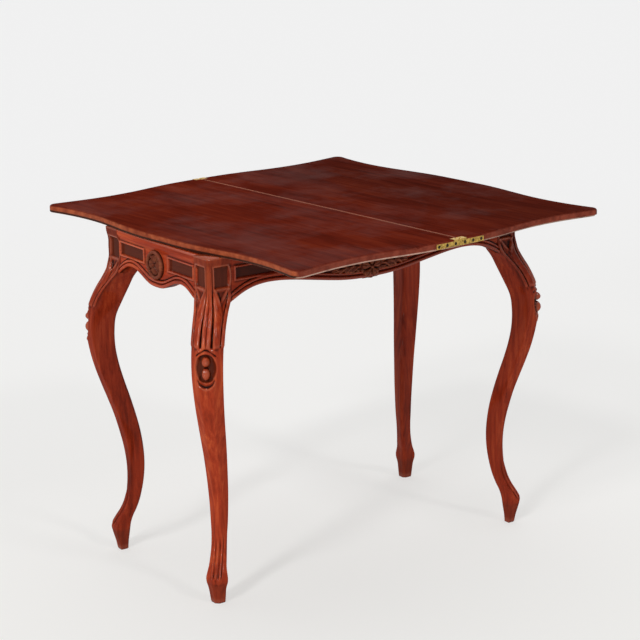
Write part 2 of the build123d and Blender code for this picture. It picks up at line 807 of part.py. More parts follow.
def build():
    """Every piece by its name."""
    parts = {}
    one_leg = leg()
    corners = {"back_right": (1, 1, 0), "back_left": (-1, 1, 90),
               "front_left": (-1, -1, 180), "front_right": (1, -1, 270)}
    for name, (x, y, turn) in corners.items():
        parts["leg_" + name] = Pos(x * half_length, y * half_depth, 0) * Rot(0, 0, turn) * one_leg
    long_run = half_length - stile_side
    short_run = half_depth - stile_side
    long_drops = (end_drop, front_arch_drop, front_arch_drop, lobe_drop)
    short_drops = (end_drop, side_arch_drop, side_arch_drop, lobe_drop)
    long_start = ornament_half_length + panel_end_gap
    short_start = medallion_radius + medallion_gap
    for name, turn, housing in (("front", 0, pivot_x), ("back", 180, -pivot_x)):
        board = apron(long_run, half_depth, front_edge_shares, long_drops, front_edge_radii,
                      long_start, housing)
        parts["apron_" + name] = Rot(0, 0, turn) * board
        parts["ornament_" + name] = Rot(0, 0, turn) * ornament(half_depth, board)
    for name, turn in (("right", 90), ("left", 270)):
        board = apron(short_run, half_length, side_edge_shares, short_drops, side_edge_radii,
                      short_start, None)
        parts["apron_" + name] = Rot(0, 0, turn) * board
        parts["medallion_" + name] = Rot(0, 0, turn) * (medallion(half_length) - board)
    parts["pivot_rail"] = pivot_rail()
    parts["pivot_bush"] = pivot_bush()
    parts["stop_block_open"] = stop_block(0, peg_place(0)[1] - peg_radius - stop_block_depth)
    parts["stop_block_closed"] = stop_block(full_swing, half_depth - apron_recess - apron_thickness)
    parts["well_floor"] = well_floor()
    parts["cleat_front"] = cleat(-1)
    parts["cleat_back"] = cleat(1)
    parts["floor_screws"] = [
        screw(place, (0, 0, -1), floor_screw_head, floor_screw_shank, floor_screw_length)
        for place in floor_screw_places()]
    parts["glue_blocks"] = glue_blocks()

    top = {"flap_leaf": flap_leaf(),
           "flap_hinge_pins": hinge_pins(), "flap_hinge_screws": hinge_screws(),
           "flap_hinge_plate_front": hinge_leaf(-1), "flap_hinge_plate_back": hinge_leaf(1),
           "hinge_link_front": hinge_link(-1), "hinge_link_back": hinge_link(1),
           "bed_leaf": bed_leaf(),
           "bed_hinge_pins": [mirror(pin, about=Plane.YZ) for pin in hinge_pins()],
           "bed_hinge_screws": [mirror(piece, about=Plane.YZ) for piece in hinge_screws()],
           "bed_hinge_plate_front": mirror(hinge_leaf(-1), about=Plane.YZ),
           "bed_hinge_plate_back": mirror(hinge_leaf(1), about=Plane.YZ),
           "pivot_plate": pivot_plate(), "pivot_bolt": pivot_bolt(), "pivot_washer": pivot_washer(),
           "pivot_nut": pivot_nut(), "stop_peg": stop_peg(),
           "pivot_plate_screws": [screw(place, (0, 0, 1), plate_screw_head, plate_screw_shank,
                                        plate_screw_length) for place in plate_screw_places()]}
    turned_top = Pos(seam_x, seam_y, 0) * Rot(0, 0, swing_left)
    for name, shape in top.items():
        if isinstance(shape, list):
            parts[name] = [turned_top * piece for piece in shape]
        else:
            parts[name] = turned_top * shape
    return parts


def main():
    parts = {name: shape if isinstance(shape, list) else [*shape.solids()]
             for name, shape in build().items()}
    boxes = [solid.bounding_box() for solids in parts.values() for solid in solids]
    low_x, high_x = min(box.min.X for box in boxes), max(box.max.X for box in boxes)
    low_y, high_y = min(box.min.Y for box in boxes), max(box.max.Y for box in boxes)
    middle_x = (low_x + high_x) / 2
    middle_y = (low_y + high_y) / 2
    os.makedirs("parts", exist_ok=True)
    for name, solids in parts.items():
        placed = [Pos(-middle_x, -middle_y, 0) * solid for solid in solids]
        export_step(placed[0] if len(placed) == 1 else Compound(children=placed), f"parts/{name}.step")
    print("size over all", high_x - low_x, high_y - low_y)
    print("frame middle", -middle_x, -middle_y)
    print("pivot", pivot_x - middle_x, pivot_y - middle_y)
    print("seam", seam_x - middle_x, seam_y - middle_y, "turn", swing_left)
    print("pin inset", pin_inset, "pin height", table_height - pin_depth)
    print("pieces", len(parts))


main()
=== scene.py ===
import bpy
import json
import math
import numpy as np
from mathutils import Matrix, Vector


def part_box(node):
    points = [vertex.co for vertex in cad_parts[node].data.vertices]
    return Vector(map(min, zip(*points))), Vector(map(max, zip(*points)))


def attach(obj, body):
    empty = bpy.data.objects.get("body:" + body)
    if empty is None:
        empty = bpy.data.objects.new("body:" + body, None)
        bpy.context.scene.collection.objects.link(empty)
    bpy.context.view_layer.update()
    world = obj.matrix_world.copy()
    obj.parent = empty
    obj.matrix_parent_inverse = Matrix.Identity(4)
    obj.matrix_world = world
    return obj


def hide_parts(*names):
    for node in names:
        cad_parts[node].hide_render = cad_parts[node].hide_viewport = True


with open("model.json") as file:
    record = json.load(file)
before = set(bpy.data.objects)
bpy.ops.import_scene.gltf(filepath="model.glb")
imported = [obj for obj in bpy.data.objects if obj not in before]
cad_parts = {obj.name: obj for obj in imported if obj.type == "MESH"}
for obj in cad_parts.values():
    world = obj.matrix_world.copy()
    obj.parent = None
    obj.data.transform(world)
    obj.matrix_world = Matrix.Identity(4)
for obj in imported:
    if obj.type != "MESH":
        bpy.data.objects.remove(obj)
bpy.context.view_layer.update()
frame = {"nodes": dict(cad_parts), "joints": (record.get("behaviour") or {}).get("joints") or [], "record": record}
scene = bpy.context.scene
nodes = frame["nodes"]


def link(obj):
    scene.collection.objects.link(obj)
    return obj


# Corners of the frame, in metres: every carved piece is placed from these
clearance = 0.0003  # the leaf above slides just clear of the carved pieces
sideBox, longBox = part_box("apron_left"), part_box("apron_front")
otherSide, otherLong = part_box("apron_right"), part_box("apron_back")
frameMiddle = Vector(((sideBox[0][0] + otherSide[1][0]) / 2, (longBox[0][1] + otherLong[1][1]) / 2, 0))
halfLength = (otherSide[1][0] - sideBox[0][0]) / 2
halfDepth = (otherLong[1][1] - longBox[0][1]) / 2
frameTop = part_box("leg_front_left")[1][2] - clearance
print("frame", round(2 * halfLength, 4), round(2 * halfDepth, 4), round(frameTop, 4))

# Camera at the photograph's view
cameraSet = {"from": (-2.5508, -3.6392, 1.6837), "azimuth": -35.3004, "elevation": 14.9008, "roll": -0.7743,
             "lens": 117.457, "sensor": 36, "shift": (-0.008756, -0.000252)}
az, el, roll = (math.radians(cameraSet[k]) for k in ("azimuth", "elevation", "roll"))
back = Vector((math.sin(az) * math.cos(el), -math.cos(az) * math.cos(el), math.sin(el)))
level = (-back).cross(Vector((0, 0, 1))).normalized()
rise = level.cross(-back)
right = math.cos(roll) * level + math.sin(roll) * rise
up = math.cos(roll) * rise - math.sin(roll) * level
place = frameMiddle + Vector(cameraSet["from"])
cameraData = bpy.data.cameras.new("camera")
cameraData.sensor_width = cameraSet["sensor"]
cameraData.lens = cameraSet["lens"]
cameraData.shift_x, cameraData.shift_y = cameraSet["shift"]
camera = link(bpy.data.objects.new("camera", cameraData))
camera.matrix_world = Matrix([(right[i], up[i], back[i], place[i]) for i in range(3)] + [(0, 0, 0, 1)])
scene.camera = camera

# Studio: pale floor, an even white room, and soft lamps either side of the camera
studioSet = {"room": 0.22, "roomSeen": 0.87, "floorNear": (0.925, 0.92, 0.90), "floorFar": (0.94, 0.94, 0.94),
             "floorFade": (-0.5, 4.0), "floorSize": 60.0, "floorShade": 0.40,
             # each lamp: tilt and turn in degrees, strength, spread in degrees
             "lamps": {"stripLow": (75.0, -64.0, 0.42, 8.0), "stripMiddle": (60.0, -66.0, 0.60, 8.0),
                       "stripHigh": (44.0, -68.0, 0.52, 8.0), "lampRight": (54.0, 12.0, 0.46, 9.0),
                       "lampTop": (26.0, 150.0, 0.95, 70.0)}}
scene.view_settings.view_transform = "Standard"
world = bpy.data.worlds.new("studio")
scene.world = world
world.use_nodes = True
world.node_tree.nodes["Background"].inputs["Color"].default_value = (1, 1, 1, 1)
for lampName, (tilt, turn, strength, spread) in studioSet["lamps"].items():
    lampData = bpy.data.lights.new(lampName, "SUN")
    lampData.energy = strength
    lampData.angle = math.radians(spread)
    lamp = link(bpy.data.objects.new(lampName, lampData))
    lamp.rotation_euler = (math.radians(tilt), 0, math.radians(turn))
print("camera and lamps done")


# Small tools for node trees
def feed(tree, socket, value):
    if isinstance(value, bpy.types.NodeSocket):
        tree.links.new(value, socket)
    elif socket.type == "RGBA":
        socket.default_value = (*value[:3], 1.0)
    else:
        socket.default_value = value


def newNode(tree, kind, inputs=None, **settings):
    made = tree.nodes.new(kind)
    for key, value in settings.items():
        setattr(made, key, value)
    for key, value in (inputs or {}).items():
        feed(tree, made.inputs[key], value)
    return made


def newGroup(name, inputs, outputs):
    tree = bpy.data.node_groups.new(name, "ShaderNodeTree")
    for label, kind, default in inputs:
        socket = tree.interface.new_socket(name=label, in_out="INPUT", socket_type="NodeSocket" + kind)
        socket.default_value = default
    for label, kind in outputs:
        tree.interface.new_socket(name=label, in_out="OUTPUT", socket_type="NodeSocket" + kind)
    return tree, tree.nodes.new("NodeGroupInput").outputs, tree.nodes.new("NodeGroupOutput").inputs


def mixColour(tree, factor, first, second, blend="MIX"):
    made = newNode(tree, "ShaderNodeMix", {0: factor}, data_type="RGBA", blend_type=blend)
    feed(tree, made.inputs[6], first)
    feed(tree, made.inputs[7], second)
    return made.outputs[2]


def spreadValue(tree, value, low, high, outLow=0.0, outHigh=1.0):
    made = newNode(tree, "ShaderNodeMapRange", {"Value": value, "From Min": low, "From Max": high,
                                                "To Min": outLow, "To Max": outHigh})
    return made.outputs["Result"]


def combine(tree, kind, first, second):
    return newNode(tree, "ShaderNodeMath", {0: first, 1: second}, operation=kind).outputs[0]


def times(tree, first, second):
    return combine(tree, "MULTIPLY", first, second)


def noise(tree, where, scale, detail, roughness=0.5, distortion=0.0, stretch=None):
    if stretch:
        where = newNode(tree, "ShaderNodeMapping", {"Vector": where, "Scale": stretch}).outputs[0]
    made = newNode(tree, "ShaderNodeTexNoise", {"Vector": where, "Scale": scale, "Detail": detail,
                                                "Roughness": roughness, "Distortion": distortion})
    return made.outputs["Fac"]


def bumped(tree, height, strength, distance, over=None):
    made = newNode(tree, "ShaderNodeBump", {"Height": height, "Strength": strength, "Distance": distance})
    if over is not None:
        tree.links.new(over, made.inputs["Normal"])
    return made.outputs[0]


def objectPlace(tree):
    return newNode(tree, "ShaderNodeTexCoord").outputs["Object"]


# Wood grain: long soft streaks, short pores, and wide slow changes of tone, along local X after the turn
grainSet = {"streaks": dict(scale=3.0, detail=5.0, roughness=0.62, distortion=0.25,
                            stretch=(2.2, 34.0, 34.0)),
            "pores": dict(scale=2.0, detail=2.0, stretch=(26.0, 420.0, 420.0)),
            "patches": dict(scale=4.5, detail=3.0, stretch=(1.0, 3.0, 3.0)),
            "poreEdge": (0.60, 0.72), "poreShare": 0.45, "darkTones": (0.05, 0.5), "lightTones": (0.5, 0.95)}


def makeGrain():
    tree, given, out = newGroup("woodGrain", [
        ("Turn", "Vector", (0, 0, 0)), ("Dark", "Color", (0.05, 0.01, 0.005, 1)),
        ("Mid", "Color", (0.2, 0.04, 0.02, 1)), ("Light", "Color", (0.4, 0.1, 0.05, 1)),
        ("Streaks", "Float", 0.5), ("Patches", "Float", 0.5)], [("Colour", "Color"), ("Height", "Float")])
    where = objectPlace(tree)
    turned = newNode(tree, "ShaderNodeMapping", {"Vector": where, "Rotation": given["Turn"]}).outputs[0]
    streaks = noise(tree, turned, **grainSet["streaks"])
    pores = noise(tree, turned, **grainSet["pores"])
    patches = noise(tree, turned, **grainSet["patches"])
    poreMask = spreadValue(tree, pores, *grainSet["poreEdge"])
    streakShift = times(tree, combine(tree, "SUBTRACT", streaks, 0.5), given["Streaks"])
    patchShift = times(tree, combine(tree, "SUBTRACT", patches, 0.5), given["Patches"])
    tone = combine(tree, "ADD", combine(tree, "ADD", streakShift, patchShift), 0.5)
    darkSide = mixColour(tree, spreadValue(tree, tone, *grainSet["darkTones"]), given["Dark"], given["Mid"])
    colour = mixColour(tree, spreadValue(tree, tone, *grainSet["lightTones"]), darkSide, given["Light"])
    colour = mixColour(tree, times(tree, poreMask, grainSet["poreShare"]), colour, given["Dark"])
    tree.links.new(colour, out["Colour"])
    tree.links.new(combine(tree, "SUBTRACT", streaks, poreMask), out["Height"])
    return tree


# Wear: dents, fine scratches and dull patches in the varnish
wearSet = {"soft": dict(scale=60.0, detail=3.0), "rare": dict(scale=38.0, detail=1.0),
           "dull": dict(scale=9.0, detail=4.0, roughness=0.6), "dullEdge": (0.4, 0.7),
           "rareEdge": (0.56, 0.66), "pitScale": 150.0, "pitEdge": (0.16, 0.05)}


def makeWear():
    tree, given, out = newGroup("varnishWear", [("Dents", "Float", 0.5), ("Dullness", "Float", 0.5)],
                                [("Roughness", "Float"), ("Height", "Float"), ("Marks", "Float")])
    where = objectPlace(tree)
    soft, rare, dull = (noise(tree, where, **wearSet[key]) for key in ("soft", "rare", "dull"))
    cells = newNode(tree, "ShaderNodeTexVoronoi", {"Vector": where, "Scale": wearSet["pitScale"]})
    pits = times(tree, spreadValue(tree, cells.outputs["Distance"], *wearSet["pitEdge"]),
                 spreadValue(tree, rare, *wearSet["rareEdge"]))
    roughness = times(tree, spreadValue(tree, dull, *wearSet["dullEdge"]), given["Dullness"])
    height = combine(tree, "SUBTRACT", times(tree, soft, given["Dents"]), pits)
    for label, value in (("Roughness", roughness), ("Height", height), ("Marks", pits)):
        tree.links.new(value, out[label])
    return tree


grainGroup = makeGrain()
wearGroup = makeWear()


def useGroup(tree, group, inputs):
    made = newNode(tree, "ShaderNodeGroup", node_tree=group)
    for key, value in inputs.items():
        feed(tree, made.inputs[key], value)
    return made.outputs


def grainFrom(tree, look):
    return useGroup(tree, grainGroup, {key.capitalize(): look[key] for key in ("turn", "dark", "mid", "light",
                                                                              "streaks", "patches")})


def wearFrom(tree, look):
    return useGroup(tree, wearGroup, {"Dents": look["dents"], "Dullness": look["dullness"]})


def newMaterial(name):
    made = bpy.data.materials.new(name)
    made.use_nodes = True
    return made, made.node_tree, made.node_tree.nodes["Principled BSDF"]


# Varnished show wood. The carved meshes carry "recessShade" (1 in recesses, where shade is painted), "ridge" (1 on
# worn tops) and "sunk" (1 on the ground of panels and the darker foot, and painted shade on the stiles under the
# top)
def varnishedWood(name, look):
    made, tree, shader = newMaterial(name)
    grain, wear = grainFrom(tree, look), wearFrom(tree, look)
    recessShade, ridge, sunk = (newNode(tree, "ShaderNodeAttribute", attribute_name=mask).outputs["Fac"]
                           for mask in ("recessShade", "ridge", "sunk"))
    colour = mixColour(tree, times(tree, sunk, look["sunkShare"]), grain["Colour"], look["sunk"])
    # painted shade: recesses mixed toward the dark recessShade colour
    colour = mixColour(tree, recessShade, colour, look["recessShade"])
    colour = mixColour(tree, times(tree, ridge, look["ridgeShare"]), colour, look["ridge"])
    # wear pits reuse the same dark colour
    colour = mixColour(tree, times(tree, wear["Marks"], look["markShare"]), colour, look["recessShade"])
    feed(tree, shader.inputs["Base Color"], colour)
    rough = combine(tree, "ADD", wear["Roughness"], look["roughness"])
    rough = combine(tree, "ADD", rough, times(tree, recessShade, look["hollowRough"]))
    feed(tree, shader.inputs["Roughness"], rough)
    grainRelief = bumped(tree, grain["Height"], *look["grainBump"])
    feed(tree, shader.inputs["Normal"], bumped(tree, wear["Height"], *look["wearBump"], over=grainRelief))
    feed(tree, shader.inputs["Coat Weight"],
         spreadValue(tree, ridge, 0.0, look["coatFullAt"], look["coat"], look["coatRidge"]))
    shader.inputs["Specular IOR Level"].default_value = look["specular"]
    shader.inputs["Coat Roughness"].default_value = look["coatRoughness"]
    return made


# Bumps: strength, then depth in metres
# recessShade: colour of the painted shade in recesses
redVarnish = {"dark": (0.140, 0.0130, 0.0048), "mid": (0.395, 0.044, 0.0145), "light": (0.63, 0.112, 0.034),
              "recessShade": (0.020, 0.0042, 0.0022), "sunk": (0.090, 0.0215, 0.0110),
              "ridge": (0.62, 0.135, 0.038), "ridgeShare": 0.26, "sunkShare": 0.85, "markShare": 0.75,
              "streaks": 1.4, "patches": 0.9,
              "dents": 0.5, "dullness": 0.25, "roughness": 0.24, "hollowRough": 0.25,
              "grainBump": (0.30, 0.0004), "wearBump": (0.30, 0.0012), "specular": 0.0,
              "coat": 0.14, "coatRidge": 0.60, "coatFullAt": 0.8, "coatRoughness": 0.06}
# shadedVarnish: a darker copy of the red varnish, painted shade for the legs and aprons that get less light
shadedVarnish = dict(redVarnish, dark=(0.100, 0.0092, 0.0036), mid=(0.275, 0.0285, 0.0095),
                   light=(0.45, 0.068, 0.022))
noTurn = (0.0, 0.0, 0.0)
uprightTurn = (0.0, math.radians(90), 0.0)
acrossTurn = (0.0, 0.0, math.radians(90))
legWood = varnishedWood("legWood", dict(redVarnish, turn=uprightTurn))
shadedLegWood = varnishedWood("shadedLegWood", dict(shadedVarnish, turn=uprightTurn))
# front and back aprons: the shaded copy with darker ground and ridge colours, painted shade under the top's
# overhang
shadedLongWood = varnishedWood("shadedLongApronWood", dict(shadedVarnish, turn=noTurn, sunk=(0.042, 0.0110, 0.0062),
                                               ridge=(0.42, 0.085, 0.030)))
sideWood = varnishedWood("sideApronWood", dict(redVarnish, turn=acrossTurn))
carvedWood = varnishedWood("carvedWood", dict(redVarnish, turn=noTurn, mid=(0.150, 0.036, 0.018),
                                              light=(0.30, 0.085, 0.036), coatRidge=0.35))
print("varnishes done")


# Meshes: points and faces with the carving masks
def makeMesh(name, points, quads, masks, material, standsFor):
    mesh = bpy.data.meshes.new(name)
    mesh.from_pydata(points.tolist(), [], quads)
    for key, values in masks.items():
        mask = mesh.attributes.new(key, "FLOAT", "POINT")
        mask.data.foreach_set("value", np.asarray(values, dtype=np.float32))
    mesh.shade_smooth()
    mesh.materials.append(material)
    obj = link(bpy.data.objects.new(name, mesh))
    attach(obj, "frame")
    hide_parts(standsFor)


def ringQuads(rows, count):
    # rings of points one after the other, joined into a closed tube with a cap at either end
    quads = []
    for r in range(rows - 1):
        here, above = r * count, (r + 1) * count
        for c in range(count):
            after = (c + 1) % count
            quads.append((here + c, above + c, above + after, here + after))
    return quads + [tuple(range(count)), tuple(range((rows - 1) * count, rows * count))[::-1]]


def smoothStep(low, high, value):
    t = np.clip((value - low) / (high - low), 0.0, 1.0)
    return t * t * (3 - 2 * t)


def fade(low, high, value):
    return 1 - smoothStep(low, high, value)


# Cross sections of carving, all in millimetres: a half round, a groove, a soft swelling and an oval dome
def roundBar(offset, halfWidth, height):
    return height * np.sqrt(np.clip(1 - (offset / halfWidth) ** 2, 0.0, 1.0))


def ditch(offset, width, depth):
    return -depth * np.sin(np.pi * np.clip(offset / width, 0, 1))


def swell(offset, width, height=1.0):
    return height * np.exp(-(offset / width) ** 2)


def bump(x, y, halfX, halfY, height):
    return height * np.sqrt(np.clip(1 - (x / halfX) ** 2 - (y / halfY) ** 2, 0, 1))


def lineBar(x, y, start, end, halfWidth, height):
    (a, b), (c, d) = start, end
    t = np.clip(((x - a) * (c - a) + (y - b) * (d - b)) / ((c - a) ** 2 + (d - b) ** 2), 0, 1)
    return roundBar(np.hypot(x - a - t * (c - a), y - b - t * (d - b)), halfWidth, height)


def blurGrid(grid, cells, axis, closed=False):
    padded = np.concatenate([grid] * 3, axis) if closed else np.pad(
        grid, [(cells, cells) if a == axis else (0, 0) for a in range(2)], mode="edge")
    total = np.cumsum(padded, axis)
    size = grid.shape[axis]
    start = size if closed else cells
    high = np.take(total, np.arange(start + cells, start + cells + size), axis)
    low = np.take(total, np.arange(start - cells - 1, start - cells - 1 + size).clip(0), axis)
    return (high - low) / (2 * cells + 1)


# Masks: how far a place lies under or over its surroundings, in millimetres
maskSet = {"recessShade": 1.2, "ridge": (0.25, 1.2), "boardCells": (3, 3), "legCells": (5, 3), "sunkClear": 0.75,
           "boardDeep": (1.6, 3.4), "legDeep": (1.6, 4.2), "rim": (729.5, 731.5)}


# the first mask paints shade in recesses, the second marks worn tops
def carvingMasks(relief, cells, closed=False):
    soft = relief
    for again in range(2):
        soft = blurGrid(blurGrid(soft, cells[0], 0), cells[1], 1, closed)
    bumpiness = relief - soft
    ridgeFrom, ridgeBy = maskSet["ridge"]
    return np.clip(-bumpiness / maskSet["recessShade"], 0, 1), np.clip((bumpiness - ridgeFrom) / ridgeBy, 0, 1)


def deepen(recessShade, relief, sunk, deep):
    # deep places get the painted recess shade too, but the ground of a panel keeps its own colour
    return np.maximum(recessShade, smoothStep(*deep, -relief)) * (1 - maskSet["sunkClear"] * sunk)


def followKnots(knots, values, where):
    knots, values = np.asarray(knots), np.asarray(values)
    slopes = np.gradient(values, knots)
    index = np.clip(np.searchsorted(knots, where) - 1, 0, len(knots) - 2)
    span = knots[index + 1] - knots[index]
    t = np.clip((where - knots[index]) / span, 0, 1)
    return ((2 * t ** 3 - 3 * t ** 2 + 1) * values[index] + (t ** 3 - 2 * t ** 2 + t) * span * slopes[index]
            + (3 * t ** 2 - 2 * t ** 3) * values[index + 1] + (t ** 3 - t ** 2) * span * slopes[index + 1])


# Legs. Millimetres on a plan turned 45 degrees: distance out along the corner's diagonal, and across it.
# Each row of the outline: height, inner end, outer face, half width, half facet
legSet = {
    "outline": [
        (0, -25.5, -3.5, 15.6, 5.4), (16, -26.8, -0.5, 17.2, 6.0), (36, -30.0, 5.0, 20.0, 6.8),
        (47, -31.6, 8.0, 23.2, 7.4), (56, -33.0, 8.4, 23.8, 7.5), (65, -35.2, 4.6, 22.2, 7.0),
        (76, -39.0, -2.0, 19.8, 6.3), (93, -47.0, -13.0, 18.2, 6.0), (112, -54.5, -22.0, 17.2, 5.9),
        (140, -62.0, -28.5, 17.2, 6.1), (170, -67.5, -31.5, 18.8, 6.9), (206, -70.0, -31.0, 20.3, 7.6),
        (243, -68.0, -26.0, 22.0, 8.3), (279, -62.5, -17.5, 23.5, 8.6), (316, -53.5, -7.0, 25.2, 9.2),
        (352, -43.0, 6.0, 27.1, 9.9), (388, -31.5, 19.5, 28.7, 10.9), (424, -21.5, 31.5, 30.4, 12.2),
        (460, -15.0, 40.0, 31.9, 13.9), (500, -14.0, 45.0, 33.2, 15.8), (535, -19.0, 43.0, 33.7, 16.2),
        (568, -34.0, 34.0, 33.9, 15.8), (600, -50.0, 18.4, 34.2, 13.5), (622, -61.0, 4.5, 35.2, 10.0),
        (641, -74.0, -5.5, 37.5, 6.5), (660, -79.2, -10.2, 38.2, 5.0), (690, -79.2, -11.0, 38.2, 4.5),
        (709, -79.2, -10.6, 38.2, 4.5), (722, -79.2, -5.8, 38.2, 4.5), (732, -79.2, -4.5, 38.2, 4.5)],
    "top": 732.0, "backHalf": 4.0, "cornerBlur": 4, "normalBlur": 24,
    # mesh: rows between heights, and points along the back, side, facets and side again
    "rows": ((0, 150, 75), (150, 455, 80), (455, 732, 235)), "sides": (26, 38, 34, 38, 26, 4),
    # tones: the edge of the oval kept plain, the worn end of the foot, the darker foot, and painted shade on the
    # stile under the top
    "plainShare": 0.8, "wornEnd": (0.5, 6, 14), "darkFoot": (0.45, 38, 54), "stileShade": (0.55, 625, 690)}

# Reeds of the knee, from the middle outwards: a pair, a deep flute, a broad reed, a groove and an edge reed
reedSet = {"start": 560.0, "startBy": (-3, 4), "fadeOut": (645, 672), "narrowing": (0.5, 605, 665),
           "pair": 8.8, "pairStand": 3.6, "flute": 14.6, "fluteDepth": 6.2, "broadStand": 3.4,
           "groove": 11.0, "grooveDepth": 3.2, "edge": 8.0, "edgeHalf": 4.1, "edgeStand": 2.2}

# Stile: a rib on the corner, sunk panels beside it (near, far, low, top), and crossed ridges under them
stileSet = {"from": (640, 668), "ribTo": (706, 724), "rib": (5.6, 2.6), "panel": (11.5, 49.0, 669.0, 713.0),
            "waist": 5.0, "sink": (0.0, 2.0, 3.6), "ground": (0.8, 2.4), "rim": (2.2, 2.1, 1.3),
            "cross": (3.2, 2.2), "crossStart": (0, -4), "crossBelow": 2, "crossFade": (-3, 16),
            "point": (-6, -34), "wedge": (0.5, 4.0, 0.8), "wedgeBelow": (5, 4), "wedgeSlope": 0.6}

# Oval on the knee: height of its middle, half widths and depth. Bead and drop: height, half widths, height
# that they stand. Chin and arch: the hooked line under it and the pointed one over it
ovalSet = {"oval": (520.0, 25.5, 29.5, 10.0), "rimBlend": (0.88, 1.02), "rimLine": (1.08, 0.14),
           "tooling": (0.3, 2.3, 1.9), "beads": ((533.5, 8.8, 10.8, 16.6), (509.0, 8.8, 14.2, 15.8)),
           "beadClear": (0.5, 4.0), "slit": (0.9, 3.4, 1.2, 0.3), "chin": (478.5, 18.0, 3.0),
           "chinRise": 12.0, "chinFade": 6.0,
           "scoop": (-1.0, 1.4, 5.0, 12.0), "lip": (2.2, 2.0, 1.5), "arch": (4.0, 0.55, 3.0),
           "archLine": (2.4, 3.4), "archFade": (20, 26)}

# Ridges over the toe (offset, width, height), the worn end of the foot and the line round it
toeSet = {"from": (54, 64), "to": (116, 150), "rib": (2.8, 2.4),
          "ridges": ((5.2, 1.7, -2.2), (9.3, 1.7, 1.5), (13.2, 2.0, -1.6)), "end": (0, 4, 1.2),
          "line": (44, 2.4, 0.4), "lineHalf": 20}


def eased(ring, repeats, axis):
    for again in range(repeats):
        ring = (np.roll(ring, 1, axis) + 2 * ring + np.roll(ring, -1, axis)) / 4
    return ring


def ringOf(inner, outer, half, facet):
    # starts at the back, goes round one side, over the front facet and back along the other side
    side, end = outer - (half - facet), legSet["backHalf"]
    corners = [(inner, end), (side, half), (outer, facet), (outer, -facet), (side, -half), (inner, -end)]
    corners.append(corners[0])
    ring = []
    for (a, b), (c, d), count in zip(corners, corners[1:], legSet["sides"]):
        t = np.arange(count) / count
        ring.append(np.stack([a + (c - a) * t, b + (d - b) * t], 1))
    return eased(np.concatenate(ring), legSet["cornerBlur"], 0)


def carveReeds(span, z, fromSide):
    start, pair, flute, groove, edge = (reedSet[k] for k in ("start", "pair", "flute", "groove", "edge"))
    under, over = reedSet["startBy"]
    tall = smoothStep(start + under, start + over, z) * fade(*reedSet["fadeOut"], z)
    share, low, high = reedSet["narrowing"]
    s = span / (1 - share * smoothStep(low, high, z))
    reeds = np.where(s < pair, roundBar(np.abs(s - pair / 2), pair / 2, reedSet["pairStand"]), 0.0)
    reeds = np.where((s >= pair) & (s < flute), ditch(s - pair, flute - pair, reedSet["fluteDepth"]), reeds)
    between = np.clip((s - flute) / np.maximum(fromSide + span - groove - flute, 1.0), 0, 1)
    broad = reedSet["broadStand"] * np.sqrt(np.clip(4 * between * (1 - between), 0, 1))
    reeds = np.where((s >= flute) & (fromSide > groove), broad, reeds)
    beside = (s >= flute) & (fromSide > 0)
    reeds = np.where(beside & (fromSide <= groove),
                     ditch(fromSide - edge, groove - edge, reedSet["grooveDepth"]), reeds)
    reeds = np.where(beside & (fromSide <= edge),
                     roundBar(fromSide - edge / 2, reedSet["edgeHalf"], reedSet["edgeStand"]), reeds)
    return tall * reeds


def carveStile(span, z):
    high = smoothStep(*stileSet["from"], z)
    relief = high * fade(*stileSet["ribTo"], z) * roundBar(span, *stileSet["rib"])
    near, wide, low, top = stileSet["panel"]
    far = wide - stileSet["waist"] * ((z - (low + top) / 2) / (top - low) * 2) ** 2
    inside = np.minimum(np.minimum(span - near, far - span), np.minimum(z - low, top - z))
    sinkFrom, sinkTo, depth = stileSet["sink"]
    relief -= depth * smoothStep(sinkFrom, sinkTo, inside)
    rimOut, rimHalf, rimHeight = stileSet["rim"]
    relief += roundBar(inside + rimOut, rimHalf, rimHeight) * high
    inward, down = stileSet["point"]
    point = ((near + wide) / 2 + inward, low + down)
    fadeLow, fadeHigh = (point[1] + by for by in stileSet["crossFade"])
    for place, shift in zip((near, wide), stileSet["crossStart"]):
        ridge = lineBar(span, z, (place + shift, low - stileSet["crossBelow"]), point, *stileSet["cross"])
        relief += ridge * smoothStep(fadeLow, fadeHigh, z)
    wedgeFrom, wedgeTo, wedgeDepth = stileSet["wedge"]
    underPanel, overPoint = stileSet["wedgeBelow"]
    wedge = np.minimum(low - underPanel - z,
                       (z - point[1] - overPoint) * stileSet["wedgeSlope"] - np.abs(span - point[0]))
    relief -= wedgeDepth * smoothStep(wedgeFrom, wedgeTo, wedge)
    return relief, smoothStep(*stileSet["ground"], inside)


